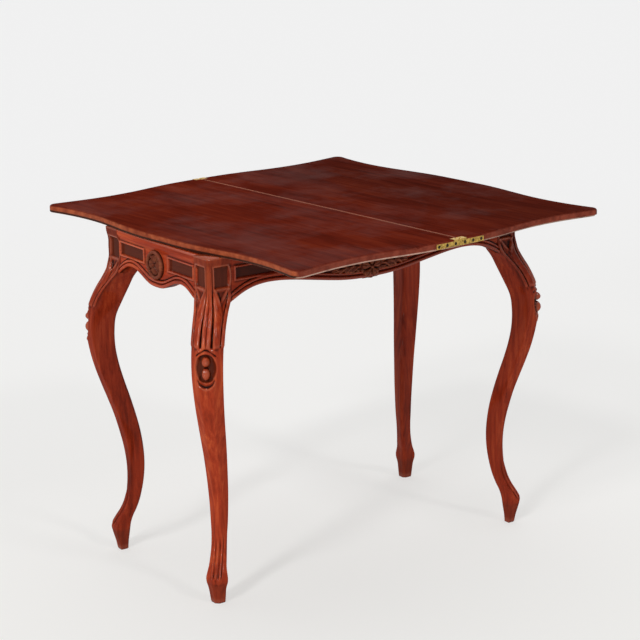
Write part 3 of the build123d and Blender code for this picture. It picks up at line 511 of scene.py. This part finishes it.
def carveOval(across, z):
    middle, halfAcross, halfTall, sink = ovalSet["oval"]
    span = np.abs(across)
    reach = np.hypot(across / halfAcross, (z - middle) / halfTall)
    ground = fade(*ovalSet["rimBlend"], reach)
    mark, markAcross, markUp = ovalSet["tooling"]
    relief = -ground * (sink + mark * np.sin(across * markAcross) * np.sin(z * markUp + across))
    beads = 0 * z
    slitWidth, slitTall, slitDepth, slitUp = ovalSet["slit"]
    for centre, wide, tallHalf, stand in ovalSet["beads"]:
        beads = beads + bump(across, z - centre, wide, tallHalf, stand)
        relief -= swell(across, slitWidth, slitDepth) * swell(z - centre - slitUp * tallHalf, slitTall)
    chin, halfChin, depth = ovalSet["chin"]
    lip = chin + ovalSet["chinRise"] * (span / halfChin) ** 2
    beside = fade(halfChin, halfChin + ovalSet["chinFade"], span)
    a, b, c, d = ovalSet["scoop"]
    relief -= depth * smoothStep(lip + a, lip + b, z) * fade(lip + c, lip + d, z) * beside * (1 - ground)
    lipUp, lipWidth, lipHeight = ovalSet["lip"]
    relief += swell(z - lip + lipUp, lipWidth, lipHeight) * beside
    archDown, archSlope, archFlat = ovalSet["arch"]
    arch = reedSet["start"] - archDown - archSlope * np.maximum(span - archFlat, 0)
    relief -= swell(z - arch, *ovalSet["archLine"]) * fade(*ovalSet["archFade"], span)
    edgeAt, edgeWidth = ovalSet["rimLine"]
    return relief + beads, ground * fade(*ovalSet["beadClear"], beads), swell(reach - edgeAt, edgeWidth)


def carveLeg(across, z, sideCorner):
    # across: way round from the middle of the front; sideCorner: the same for the leg's side arris
    span = np.abs(across)
    oval, ovalGround, ovalEdge = carveOval(across, z)
    stile, stileGround = carveStile(span, z)
    relief = carveReeds(span, z, sideCorner - span) + oval + stile
    ridges = roundBar(span, *toeSet["rib"])
    for offset, width, height in toeSet["ridges"]:
        ridges = ridges + swell(span - offset, width, height)
    relief += smoothStep(*toeSet["from"], z) * fade(*toeSet["to"], z) * ridges
    endFrom, endTo, endDepth = toeSet["end"]
    lineAt, lineWidth, lineDepth = toeSet["line"]
    relief -= endDepth * fade(endFrom, endTo, z)
    relief -= swell(z - lineAt, lineWidth, lineDepth) * (span < toeSet["lineHalf"])
    return relief, np.maximum(ovalGround, stileGround), ovalEdge


def makeLeg(name, cornerX, cornerY, outX, outY):
    heights = [np.linspace(a, b, n, endpoint=False) for a, b, n in legSet["rows"]]
    heights = np.concatenate(heights + [[legSet["top"]]])
    table = np.array(legSet["outline"], dtype=float)
    shape = [followKnots(table[:, 0], table[:, column], heights) for column in range(1, 5)]
    rings = np.stack([ringOf(*row) for row in zip(*shape)])
    rows, count = rings.shape[:2]
    step = np.linalg.norm(np.roll(rings, -1, 1) - rings, axis=2)
    around = np.concatenate([np.zeros((rows, 1)), np.cumsum(step, 1)[:, :-1]], 1)
    sides = legSet["sides"]
    middle = sides[0] + sides[1] + sides[2] // 2
    across = around - around[:, middle:middle + 1]
    sideCorner = np.abs(across[:, sides[0]:sides[0] + 1]) * np.ones((1, count))
    soft = eased(rings, legSet["normalBlur"], 1)
    tangent = np.roll(soft, -1, 1) - np.roll(soft, 1, 1)
    normal = np.stack([-tangent[..., 1], tangent[..., 0]], 2)
    normal /= np.maximum(np.linalg.norm(normal, axis=2, keepdims=True), 1e-6)
    if normal[0, middle, 0] < 0:
        normal = -normal
    z = np.repeat(heights[:, None], count, 1)
    onFront = (np.abs(across) <= sideCorner + 0.5)
    relief, sunk, plain = (part * onFront for part in carveLeg(across, z, sideCorner))
    recessShade, ridge = carvingMasks(relief, maskSet["legCells"], True)
    recessShade = deepen(recessShade, relief, sunk, maskSet["legDeep"])
    ridge = np.maximum(ridge * (1 - legSet["plainShare"] * plain), smoothStep(*maskSet["rim"], z) * onFront)
    share, low, high = legSet["wornEnd"]
    ridge = np.maximum(ridge, share * fade(low, high, z))
    share, low, high = legSet["darkFoot"]
    dark = share * fade(low, high, z)
    # painted shade on the stile under the top's overhang, carried in the sunk mask
    share, low, high = legSet["stileShade"]
    sunk = np.maximum(sunk, dark + share * smoothStep(low, high, z))
    points = rings + normal * relief[..., None]
    outward = np.array([outX, outY]) / math.sqrt(2)
    sideways = np.array([-outY, outX]) / math.sqrt(2)
    plan = (points[..., :1] * outward + points[..., 1:] * sideways) / 1000 + np.array([cornerX, cornerY])
    grid = np.concatenate([plan, (z * frameTop / legSet["top"])[..., None]], 2).reshape(-1, 3)
    masks = {"recessShade": recessShade.ravel(), "ridge": ridge.ravel(), "sunk": sunk.ravel()}
    # painted shade: the three other legs get shadedLegWood, a darker copy for the lesser light on them
    wood = legWood if name.endswith("front_left") else shadedLegWood  # the palest of the four
    makeMesh(name, grid, ringQuads(rows, count), masks, wood, name.replace("carved_", ""))


for sideName, outX in (("left", -1), ("right", 1)):
    for endName, outY in (("front", -1), ("back", 1)):
        makeLeg("carved_leg_%s_%s" % (endName, sideName), frameMiddle.x + outX * halfLength,
                frameMiddle.y + outY * halfDepth, outX, outY)
print("legs done")


# Aprons: a carved front grid, closed to a board behind, in millimetres. Beads and groove follow the lower
# edge: offset, half width or width, height. Edge: share of the way out, drop below the top. Panel: near, far,
# top, low
apronSet = {"recess": 4.5, "back": 26.0, "stile": 56.0, "lap": 4.0, "top": 732.0, "topGap": clearance * 1000,
            "beads": ((4.4, 4.4, 4.4), (12.8, 3.1, 3.0)), "groove": (15.9, 3.6, 1.2), "band": (6.0, 21.5),
            "rim": (2.3, 2.2, 3.0), "sink": (0.0, 1.5, 3.4), "ground": (0.6, 2.0), "endStep": (5.0, 3.0, 0.7),
            "reach": 80, "endSlope": 0.8, "steps": 1600,
            "side": {"half": 206.5, "faceAt": 406.4, "blur": 13,
                     "edge": ((1.0, 91.0), (0.76, 71.0), (0.54, 71.0), (0.16, 95.5)),
                     "panel": (50.0, 144.0, 25.5, 50.5), "columns": 300, "rows": 110},
            "long": {"half": 406.4, "faceAt": 206.5, "blur": 34,
                     "edge": ((1.0, 91.0), (0.86, 67.0), (0.66, 66.0), (0.16, 95.5)),
                     "panel": (120.0, 337.0, 25.5, 48.5), "columns": 600, "rows": 80}}
upward = np.array([0.0, 0.0, 1.0])
outwardOf = {"front": np.array([0.0, -1.0, 0.0]), "back": np.array([0.0, 1.0, 0.0]),
             "left": np.array([-1.0, 0.0, 0.0]), "right": np.array([1.0, 0.0, 0.0])}


def lowerEdge(along, spec):
    # the arched and lobed lower edge, as its drop below the top of the frame
    run = spec["half"] - apronSet["stile"]
    fine = np.linspace(-run - apronSet["reach"], run + apronSet["reach"], apronSet["steps"])
    shares, drops = zip(*spec["edge"])
    drop = np.interp(np.abs(fine), [s * run for s in shares[::-1]], drops[::-1])
    drop = drop + np.clip(np.abs(fine) - run, 0, None) * apronSet["endSlope"]
    cells = int(spec["blur"] / (fine[1] - fine[0]))
    drop = blurGrid(blurGrid(drop[None, :], cells, 1), cells, 1)[0]
    return np.interp(along, fine, drop)


def carveApron(along, fromEdge, fromTop, spec):
    span = np.abs(along)
    relief = apronSet["recess"] * fade(*apronSet["band"], fromTop)
    for middle, halfWidth, height in apronSet["beads"]:
        relief += roundBar(fromEdge - middle, halfWidth, height)
    start, width, depth = apronSet["groove"]
    relief += ditch(fromEdge - start, width, depth)
    near, far, top, low = spec["panel"]
    inside = np.minimum(np.minimum(span - near, far - span), np.minimum(fromTop - top, low - fromTop))
    rimOut, rimHalf, rimHeight = apronSet["rim"]
    relief += roundBar(inside + rimOut, rimHalf, rimHeight)
    sinkFrom, sinkTo, sinkDepth = apronSet["sink"]
    relief -= sinkDepth * smoothStep(sinkFrom, sinkTo, inside)
    far, near, drop = apronSet["endStep"]
    run = spec["half"] - apronSet["stile"]
    relief -= drop * smoothStep(run - far, run - near, span)
    return relief, smoothStep(*apronSet["ground"], inside)


def makeBoard(name, spec, outward, along, low, high, relief, sunk, back, material, standsFor):
    # a grid over the carved face and a flat copy at the back, joined round their edges
    rows, count = relief.shape
    direction = np.cross(upward, outward)
    origin = np.array(frameMiddle) + outward * spec["faceAt"] / 1000
    recessShade, ridge = carvingMasks(relief, maskSet["boardCells"])
    recessShade = deepen(recessShade, relief, sunk, maskSet["boardDeep"])
    t = np.linspace(0, 1, rows)[:, None]
    height = low[None, :] * (1 - t) + high * t
    ridge = np.maximum(ridge, smoothStep(*maskSet["rim"], height))
    z = height * frameTop / apronSet["top"]
    flat = origin + along[None, :, None] / 1000 * direction + z[..., None] * upward
    front = flat + outward * ((relief - apronSet["recess"]) / 1000)[..., None]
    rear = flat - outward * (back / 1000)
    points = np.concatenate([front.reshape(-1, 3), rear.reshape(-1, 3)])
    total = rows * count
    quads = []
    for r in range(rows - 1):
        for c in range(count - 1):
            a = r * count + c
            quads.append((a, a + 1, a + count + 1, a + count))
            quads.append((a + total, a + count + total, a + count + 1 + total, a + 1 + total))
    border = list(range(count)) + [r * count + count - 1 for r in range(1, rows)]
    border += [(rows - 1) * count + c for c in range(count - 2, -1, -1)]
    border += [r * count for r in range(rows - 2, 0, -1)]
    quads += [(a, a + total, b + total, b) for a, b in zip(border, border[1:] + border[:1])]
    masks = {key: np.concatenate([values.ravel(), 0 * values.ravel()])
             for key, values in (("recessShade", recessShade), ("ridge", ridge), ("sunk", sunk))}
    makeMesh(name, points, quads, masks, material, standsFor)


for facing, outward in outwardOf.items():
    spec = apronSet["long" if facing in ("front", "back") else "side"]
    run = spec["half"] - apronSet["stile"] + apronSet["lap"]
    along = np.linspace(-run, run, spec["columns"])
    low, high = apronSet["top"] - lowerEdge(along, spec), apronSet["top"] - apronSet["topGap"]
    t = np.linspace(0, 1, spec["rows"])[:, None]
    z = low[None, :] * (1 - t) + high * t
    relief, sunk = carveApron(along[None, :] + 0 * z, z - low[None, :], apronSet["top"] - z, spec)
    wood = shadedLongWood if spec is apronSet["long"] else sideWood
    makeBoard("carved_apron_" + facing, spec, outward, along, low, high, relief, sunk, apronSet["back"], wood,
              "apron_" + facing)
print("aprons done")


# Carving in millimetres. Petals: how many, length, height. Sepal: half angle, height. Button: radius, height
rosetteSet = {"radius": 31.0, "ring": (26.4, 4.6, 8.8), "drop": 47.5, "thick": 6.0, "ground": 0.6,
              "plain": 0.5, "rows": 56, "columns": 180,
              "flower": {"petals": (4, 22.0, 8.0), "sepal": (0.20, 4.6), "button": (4.8, 9.6)}}
petalSet = {"share": 0.49, "tip": (1.12, 5, 0.02), "swell": 0.92, "vein": (1.6, 5, 9, 0.16), "veinOver": 0.6,
            "sepalTo": 1.02, "sepalFrom": (3, 8), "stipple": (0.4, 7)}
groupSet = {"half": 112.0, "columns": 440, "rows": 90, "top": 20.0, "under": -1.4, "thick": 14.0,
            "blossom": (72.0, 25.5), "disc": (3.0, -1.5, 0.5), "low": (9.0, 10.5, 19, 27), "cutOff": 0.25,
            "flower": {"petals": (5, 25.0, 10.5), "sepal": (0.16, 3.5), "button": (5.5, 11.5)},
            # leaves: start along and below the frame's top, degrees, bend per mm, length, width, height
            "leaves": ((20, 68, 16, -0.0080, 82, 27, 9.0), (24, 78, 2, 0.006, 56, 14, 6.0),
                       (16, 54, 52, -0.022, 42, 20, 7.0), (78, 50, 0, 0.014, 34, 13, 5.6)),
            # lobes along a leaf's sides and ribs over it: how strong, how far apart, how far they lean
            "lobes": (0.26, 20.0, 0.5), "ribs": (0.20, 20.0, 1.0), "midrib": (1.8, 0.30)}


def carveFlower(radius, angle, flower):
    count, reach, stand = flower["petals"]
    sector = 2 * math.pi / count
    fromPetal = (angle + sector / 2) % sector - sector / 2
    widest, power, least = petalSet["tip"]
    width = petalSet["share"] * sector * np.clip(widest - (radius / reach) ** power, least, 1) ** 0.5
    lift = np.sin(np.clip(radius / reach, 0, 1) * math.pi * petalSet["swell"]) ** 0.5
    petal = stand * lift * roundBar(fromPetal, width, 1.0) * (radius < reach)
    veinWidth, veinFrom, veinTo, veinDepth = petalSet["vein"]
    vein = swell(fromPetal * radius, veinWidth) * smoothStep(veinFrom, veinTo, radius)
    petal -= veinDepth * stand * vein * (petal > petalSet["veinOver"])
    halfAngle, height = flower["sepal"]
    sepal = roundBar(sector / 2 - np.abs(fromPetal), halfAngle, height)
    sepal = sepal * (radius < reach * petalSet["sepalTo"]) * smoothStep(*petalSet["sepalFrom"], radius)
    size, high = flower["button"]
    stipple, knobs = petalSet["stipple"]
    heart = bump(radius, 0, size, 1, high) + stipple * np.sin(angle * knobs) * (radius < size)
    return np.maximum(np.maximum(petal, sepal), np.maximum(heart, 0))


def makeRosette(name, outward, standsFor):
    radius = np.linspace(0.01, rosetteSet["radius"], rosetteSet["rows"])[:, None]
    angle = np.linspace(0, 2 * math.pi, rosetteSet["columns"], endpoint=False)[None, :]
    ground = rosetteSet["ground"]
    relief = np.maximum(carveFlower(radius, angle + 0 * radius, rosetteSet["flower"]) + ground, ground)
    middle, halfWidth, height = rosetteSet["ring"]
    relief = np.maximum(relief, roundBar(radius - middle, halfWidth, height) + 0 * angle)
    recessShade, ridge = carvingMasks(relief, maskSet["boardCells"])
    sunk = 1.0 * (relief < ground + rosetteSet["plain"]) * (radius < middle)
    direction = np.cross(upward, outward)
    centre = np.array(frameMiddle) + outward * halfLength + upward * (frameTop - rosetteSet["drop"] / 1000)
    flat = (centre + (radius * np.cos(angle))[..., None] / 1000 * direction
            + (radius * np.sin(angle))[..., None] / 1000 * upward)
    front = flat + outward * ((relief - apronSet["recess"]) / 1000)[..., None]
    rows, count = relief.shape
    rim = front[-1] - outward * ((relief[-1] + rosetteSet["thick"]) / 1000)[:, None]
    points = np.concatenate([front.reshape(-1, 3), rim])
    masks = {key: np.concatenate([values.ravel(), np.zeros(count)])
             for key, values in (("recessShade", recessShade), ("ridge", ridge), ("sunk", sunk))}
    makeMesh(name, points, ringQuads(rows + 1, count), masks, carvedWood, standsFor)


def leafHeight(x, y, leaf):
    # the leaf runs along an arc: along is the way round it, off the distance to either side
    startX, startY, heading, bend, length, width, height = leaf
    turn = math.radians(heading)
    radius = 1 / abs(bend)
    u = (x - startX) * math.cos(turn) + (startY - y) * math.sin(turn)
    v = (-(x - startX) * math.sin(turn) + (startY - y) * math.cos(turn)) * math.copysign(1, bend)
    along = radius * np.arctan2(u, radius - v)
    off = radius - np.hypot(u, v - radius)
    t = np.clip(along / length, 0, 1)
    lobe, lobeGap, lobeLean = groupSet["lobes"]
    lobes = 1 + lobe * np.cos((along - lobeLean * np.abs(off)) * 2 * math.pi / lobeGap)
    halfWidth = width / 2 * np.sin(math.pi * t ** 0.8) ** 0.7 * lobes + 0.01
    body = roundBar(off, halfWidth, 1.0) * (0.55 + 0.45 * np.sin(math.pi * t))
    rib, ribGap, ribLean = groupSet["ribs"]
    ribs = rib * np.cos((along - ribLean * np.abs(off)) * 2 * math.pi / ribGap)
    veins = swell(off, *groupSet["midrib"]) + ribs
    return height * np.where((along > 0) & (along < length) & (body > 0), np.clip(body - veins, 0, 1), 0)


def makeScrolls(facing):
    spec = apronSet["long"]
    along = np.linspace(-groupSet["half"], groupSet["half"], groupSet["columns"])
    above, dip, dipFrom, dipTo = groupSet["low"]
    low = apronSet["top"] - lowerEdge(along, spec) + above - dip * fade(dipFrom, dipTo, np.abs(along))
    high = apronSet["top"] - groupSet["top"]
    t = np.linspace(0, 1, groupSet["rows"])[:, None]
    z = low[None, :] * (1 - t) + high * t
    x, fromTop = along[None, :] + 0 * z, apronSet["top"] - z
    relief = np.zeros_like(z)
    for leaf in groupSet["leaves"]:
        relief = np.maximum(relief, leafHeight(np.abs(x), fromTop, leaf))
    centreDrop, reach = groupSet["blossom"]
    radius, angle = np.hypot(x, fromTop - centreDrop), np.arctan2(centreDrop - fromTop, x)
    relief = np.maximum(relief, carveFlower(radius, angle - math.pi / 2, groupSet["flower"]))
    discHeight, discIn, discOut = groupSet["disc"]
    relief = np.maximum(relief, discHeight * fade(reach + discIn, reach + discOut, radius))
    relief = np.where(relief > groupSet["cutOff"], relief, groupSet["under"])
    makeBoard("scrolls_" + facing, spec, outwardOf[facing], along, low, high, relief, 0 * relief,
              groupSet["thick"], carvedWood, "ornament_" + facing)


for facing in ("left", "right"):
    makeRosette("rosette_" + facing, outwardOf[facing], "medallion_" + facing)
for facing in ("front", "back"):
    makeScrolls(facing)
print("carving done")


# Polished top: face, worn edges and the lower arris are told apart by where they are on the leaf. Painted on it:
# shade on the bed leaf away from the seam, light on the left edges and shade on the others, a shadow under the
# left edges, a floor reflection on the lower arris, and a highlight and gap shade at the seam.
# Heights and widths in metres, facings as the upward or sideways part of the normal
topSet = {"dark": (0.055, 0.0058, 0.0028), "mid": (0.130, 0.0140, 0.0062), "light": (0.205, 0.028, 0.0105),
          "deep": (0.66, 0.80, 0.95), "litEdgeLeft": (0.50, 0.122, 0.046), "litEdgeLeftDark": (0.30, 0.056, 0.022),
          "under": (0.045, 0.014, 0.008), "shadedEdgeFront": (0.33, 0.070, 0.038),
          "shadedEdgeFrontDark": (0.16, 0.027, 0.015), "arris": (0.66, 0.42, 0.33),
          "seamGlint": (0.36, 0.135, 0.085), "seamGapShade": (0.065, 0.017, 0.009),
          "turn": (0.0, 0.0, math.radians(-94.7)), "streaks": 1.1, "patches": 0.9, "dents": 0.15,
          "dullness": 0.35, "shadeFromSeam": (-0.02, 0.25), "edgeFacing": (0.90, 0.35), "leftFacing": (-0.45, -0.75),
          "gapShadowHeight": (0.0065, 0.0045), "patchy": dict(scale=55.0, detail=4.0),
          "wornBy": (0.30, 0.60, 0.45, 1.0), "arrisHeight": (0.0040, 0.0026), "arrisFacing": (-0.97, -0.80),
          "arrisBy": (0.25, 0.55, 0.4, 1.0), "seamWidth": (0.0042, 0.0024), "seamFacing": (0.3, 0.6),
          "seamShare": 0.8, "gapWidth": (0.0016, 0.0009), "markShare": 0.35, "roughness": 0.30,
          "fog": dict(scale=5.0, detail=4.0, roughness=0.65),
          "fogCoat": (0.45, 0.72, 0.004, 0.085), "edgeCoat": 0.12, "coatRoughness": 0.16, "specular": 0.0,
          "grainBump": (0.25, 0.0003), "wearBump": (0.15, 0.001)}


def spreadFrom(tree, value, name):
    return spreadValue(tree, value, *topSet[name])


def seamDistance(tree, where):
    # signed distance from the seam, over the bed leaf when it is above nought
    pins = [joint["pos_m"] for joint in frame["joints"] if joint["name"] in ("link_turn", "flap_turn")]
    seam = [(a + b) / 2 for a, b in zip(*pins)]
    slant = math.atan2(pins[1][1] - pins[0][1], pins[1][0] - pins[0][0])
    toSeam = newNode(tree, "ShaderNodeVectorMath", {0: where, 1: seam}, operation="SUBTRACT").outputs[0]
    return newNode(tree, "ShaderNodeVectorMath", {0: toSeam, 1: (math.cos(slant), math.sin(slant), 0)},
                   operation="DOT_PRODUCT").outputs["Value"]


def makeTopWood():
    made, tree, shader = newMaterial("topWood")
    grain, wear = grainFrom(tree, topSet), wearFrom(tree, topSet)
    where = newNode(tree, "ShaderNodeTexCoord").outputs
    height = newNode(tree, "ShaderNodeSeparateXYZ", {"Vector": where["Object"]}).outputs["Z"]
    height = combine(tree, "SUBTRACT", height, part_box("bed_leaf")[0][2])
    normals = newNode(tree, "ShaderNodeSeparateXYZ", {"Vector": where["Normal"]}).outputs
    facing = normals["Z"]
    fromSeam = seamDistance(tree, where["Object"])
    # painted shade: the bed leaf is darker away from the seam, towards the front, by the multiplier "deep"
    shadedGrain = mixColour(tree, 1.0, grain["Colour"], topSet["deep"], "MULTIPLY")
    grainWithShade = mixColour(tree, spreadFrom(tree, fromSeam, "shadeFromSeam"), grain["Colour"], shadedGrain)
    fromSeam = combine(tree, "ABSOLUTE", fromSeam, 0.0)
    patchy = noise(tree, where["Object"], **topSet["patchy"])
    # edges, worn in patches, with painted light: lighter orange on the left side where the light falls, painted
    # darker on the others
    edge = spreadFrom(tree, combine(tree, "ABSOLUTE", facing, 0.0), "edgeFacing")
    onLeft = spreadFrom(tree, normals["X"], "leftFacing")
    worn = times(tree, edge, spreadFrom(tree, patchy, "wornBy"))
    litLeftColour = mixColour(tree, patchy, topSet["litEdgeLeftDark"], topSet["litEdgeLeft"])
    shadedFrontColour = mixColour(tree, patchy, topSet["shadedEdgeFrontDark"], topSet["shadedEdgeFront"])
    colour = mixColour(tree, worn, grainWithShade, mixColour(tree, onLeft, shadedFrontColour, litLeftColour))
    # painted shadow of the gap under the leaf, along the lower part of the left edges
    under = times(tree, spreadFrom(tree, height, "gapShadowHeight"), edge)
    colour = mixColour(tree, times(tree, under, onLeft), colour, topSet["under"])
    # painted reflection of the pale floor on the lower arris, everywhere but on the left side
    arris = times(tree, spreadFrom(tree, height, "arrisHeight"), spreadFrom(tree, facing, "arrisFacing"))
    arris = times(tree, arris, combine(tree, "SUBTRACT", 1.0, onLeft))
    arris = times(tree, arris, spreadFrom(tree, patchy, "arrisBy"))
    colour = mixColour(tree, arris, colour, topSet["arris"])
    # painted highlight on the rounded seam edges, then painted shade in the gap between the leaves
    nearSeam = times(tree, spreadFrom(tree, fromSeam, "seamWidth"), spreadFrom(tree, facing, "seamFacing"))
    colour = mixColour(tree, times(tree, nearSeam, topSet["seamShare"]), colour, topSet["seamGlint"])
    colour = mixColour(tree, spreadFrom(tree, fromSeam, "gapWidth"), colour, topSet["seamGapShade"])
    colour = mixColour(tree, times(tree, wear["Marks"], topSet["markShare"]), colour, topSet["light"])
    feed(tree, shader.inputs["Base Color"], colour)
    feed(tree, shader.inputs["Roughness"], combine(tree, "ADD", wear["Roughness"], topSet["roughness"]))
    fog = noise(tree, where["Object"], **topSet["fog"])
    gloss = combine(tree, "ADD", spreadFrom(tree, fog, "fogCoat"), times(tree, edge, topSet["edgeCoat"]))
    feed(tree, shader.inputs["Coat Weight"], gloss)
    grainRelief = bumped(tree, grain["Height"], *topSet["grainBump"])
    feed(tree, shader.inputs["Normal"], bumped(tree, wear["Height"], *topSet["wearBump"], over=grainRelief))
    shader.inputs["Specular IOR Level"].default_value = topSet["specular"]
    shader.inputs["Coat Roughness"].default_value = topSet["coatRoughness"]
    return made


# Metal: aged brass with dark patina in patches, and dulled screws
metalSet = {"patina": dict(scale=240.0, detail=5.0, roughness=0.65), "patinaEdge": (0.38, 0.66),
            "rougher": 0.25, "bump": (0.25, 0.0003),
            "brass": {"bright": (0.66, 0.44, 0.11), "dark": (0.20, 0.115, 0.03), "roughness": 0.36},
            "screws": {"bright": (0.075, 0.055, 0.035), "dark": (0.02, 0.015, 0.01), "roughness": 0.5}}


def agedMetal(name, look):
    made, tree, shader = newMaterial(name)
    patina = noise(tree, objectPlace(tree), **metalSet["patina"])
    mask = spreadValue(tree, patina, *metalSet["patinaEdge"])
    feed(tree, shader.inputs["Base Color"], mixColour(tree, mask, look["bright"], look["dark"]))
    rough = spreadValue(tree, mask, 0.0, 1.0, look["roughness"], look["roughness"] + metalSet["rougher"])
    feed(tree, shader.inputs["Roughness"], rough)
    feed(tree, shader.inputs["Normal"], bumped(tree, patina, *metalSet["bump"]))
    shader.inputs["Metallic"].default_value = 1.0
    return made


# Unfinished wood inside the frame: dusty, with open grain
insideSet = {"dark": (0.10, 0.045, 0.02), "mid": (0.25, 0.13, 0.06), "light": (0.42, 0.25, 0.13),
             "streaks": 1.2, "patches": 0.6, "dents": 0.3, "dullness": 0.3, "mark": (0.08, 0.035, 0.02),
             "markShare": 0.6, "roughness": 0.62, "bump": (0.5, 0.0005),
             "crossGrained": ("pivot_rail", "stop_block_open", "stop_block_closed")}


def plainWood(name, turn):
    made, tree, shader = newMaterial(name)
    grain, wear = grainFrom(tree, dict(insideSet, turn=turn)), wearFrom(tree, insideSet)
    marks = times(tree, wear["Marks"], insideSet["markShare"])
    colour = mixColour(tree, marks, grain["Colour"], insideSet["mark"])
    feed(tree, shader.inputs["Base Color"], colour)
    feed(tree, shader.inputs["Roughness"], combine(tree, "ADD", wear["Roughness"], insideSet["roughness"]))
    feed(tree, shader.inputs["Normal"], bumped(tree, grain["Height"], *insideSet["bump"]))
    return made


insideLong = plainWood("insideWoodLong", noTurn)
insideCross = plainWood("insideWoodCross", acrossTurn)
finishOf = {"top_wood": makeTopWood(), "brass": agedMetal("agedBrass", metalSet["brass"]),
            "steel": agedMetal("dullScrews", metalSet["screws"])}
for part in frame["record"]["subparts"]:
    material = finishOf.get(part["material_slot"])
    if part["material_slot"] == "inside_wood":
        material = insideCross if part["node"] in insideSet["crossGrained"] else insideLong
    if material:
        mesh = nodes[part["node"]].data
        mesh.materials.clear()
        mesh.materials.append(material)
print("carried-over pieces done")


# Pale floor and room. Seen straight on or in a reflection, the room is nearly white and part of the floor's
# brightness is its own, so the table's shadows stay faint; the light they throw on the table is plain
def seenDirectly(tree):
    path = newNode(tree, "ShaderNodeLightPath").outputs
    mirrored = combine(tree, "MAXIMUM", path["Is Glossy Ray"], path["Is Transmission Ray"])
    return combine(tree, "MAXIMUM", path["Is Camera Ray"], mirrored)


def makeRoom():
    tree = world.node_tree
    strength = spreadValue(tree, seenDirectly(tree), 0.0, 1.0, studioSet["room"], studioSet["roomSeen"])
    feed(tree, tree.nodes["Background"].inputs["Strength"], strength)


def makeFloor():
    made, tree, shader = newMaterial("floorPaper")
    turn = (0, 0, -math.radians(90 + cameraSet["azimuth"]))
    alongView = newNode(tree, "ShaderNodeMapping", {"Vector": objectPlace(tree), "Rotation": turn}).outputs[0]
    depth = newNode(tree, "ShaderNodeSeparateXYZ", {"Vector": alongView}).outputs["X"]
    colour = mixColour(tree, spreadValue(tree, depth, *studioSet["floorFade"]),
                       studioSet["floorNear"], studioSet["floorFar"])
    seen = seenDirectly(tree)
    shade = studioSet["floorShade"]
    shaded = mixColour(tree, 1.0, colour, (shade, shade, shade), "MULTIPLY")
    glow = mixColour(tree, 1.0, colour, (1 - shade, 1 - shade, 1 - shade), "MULTIPLY")
    feed(tree, shader.inputs["Base Color"], mixColour(tree, seen, colour, shaded))
    feed(tree, shader.inputs["Emission Color"], mixColour(tree, seen, (0, 0, 0), glow))
    shader.inputs["Emission Strength"].default_value = 1.0
    shader.inputs["Roughness"].default_value = 1.0
    shader.inputs["Specular IOR Level"].default_value = 0.0
    half = studioSet["floorSize"] / 2
    corners = [(-half, -half, 0), (half, -half, 0), (half, half, 0), (-half, half, 0)]
    mesh = bpy.data.meshes.new("floor")
    mesh.from_pydata(corners, [], [(0, 1, 2, 3)])
    mesh.materials.append(made)
    link(bpy.data.objects.new("floor", mesh))


makeRoom()
makeFloor()
print("floor and room done")
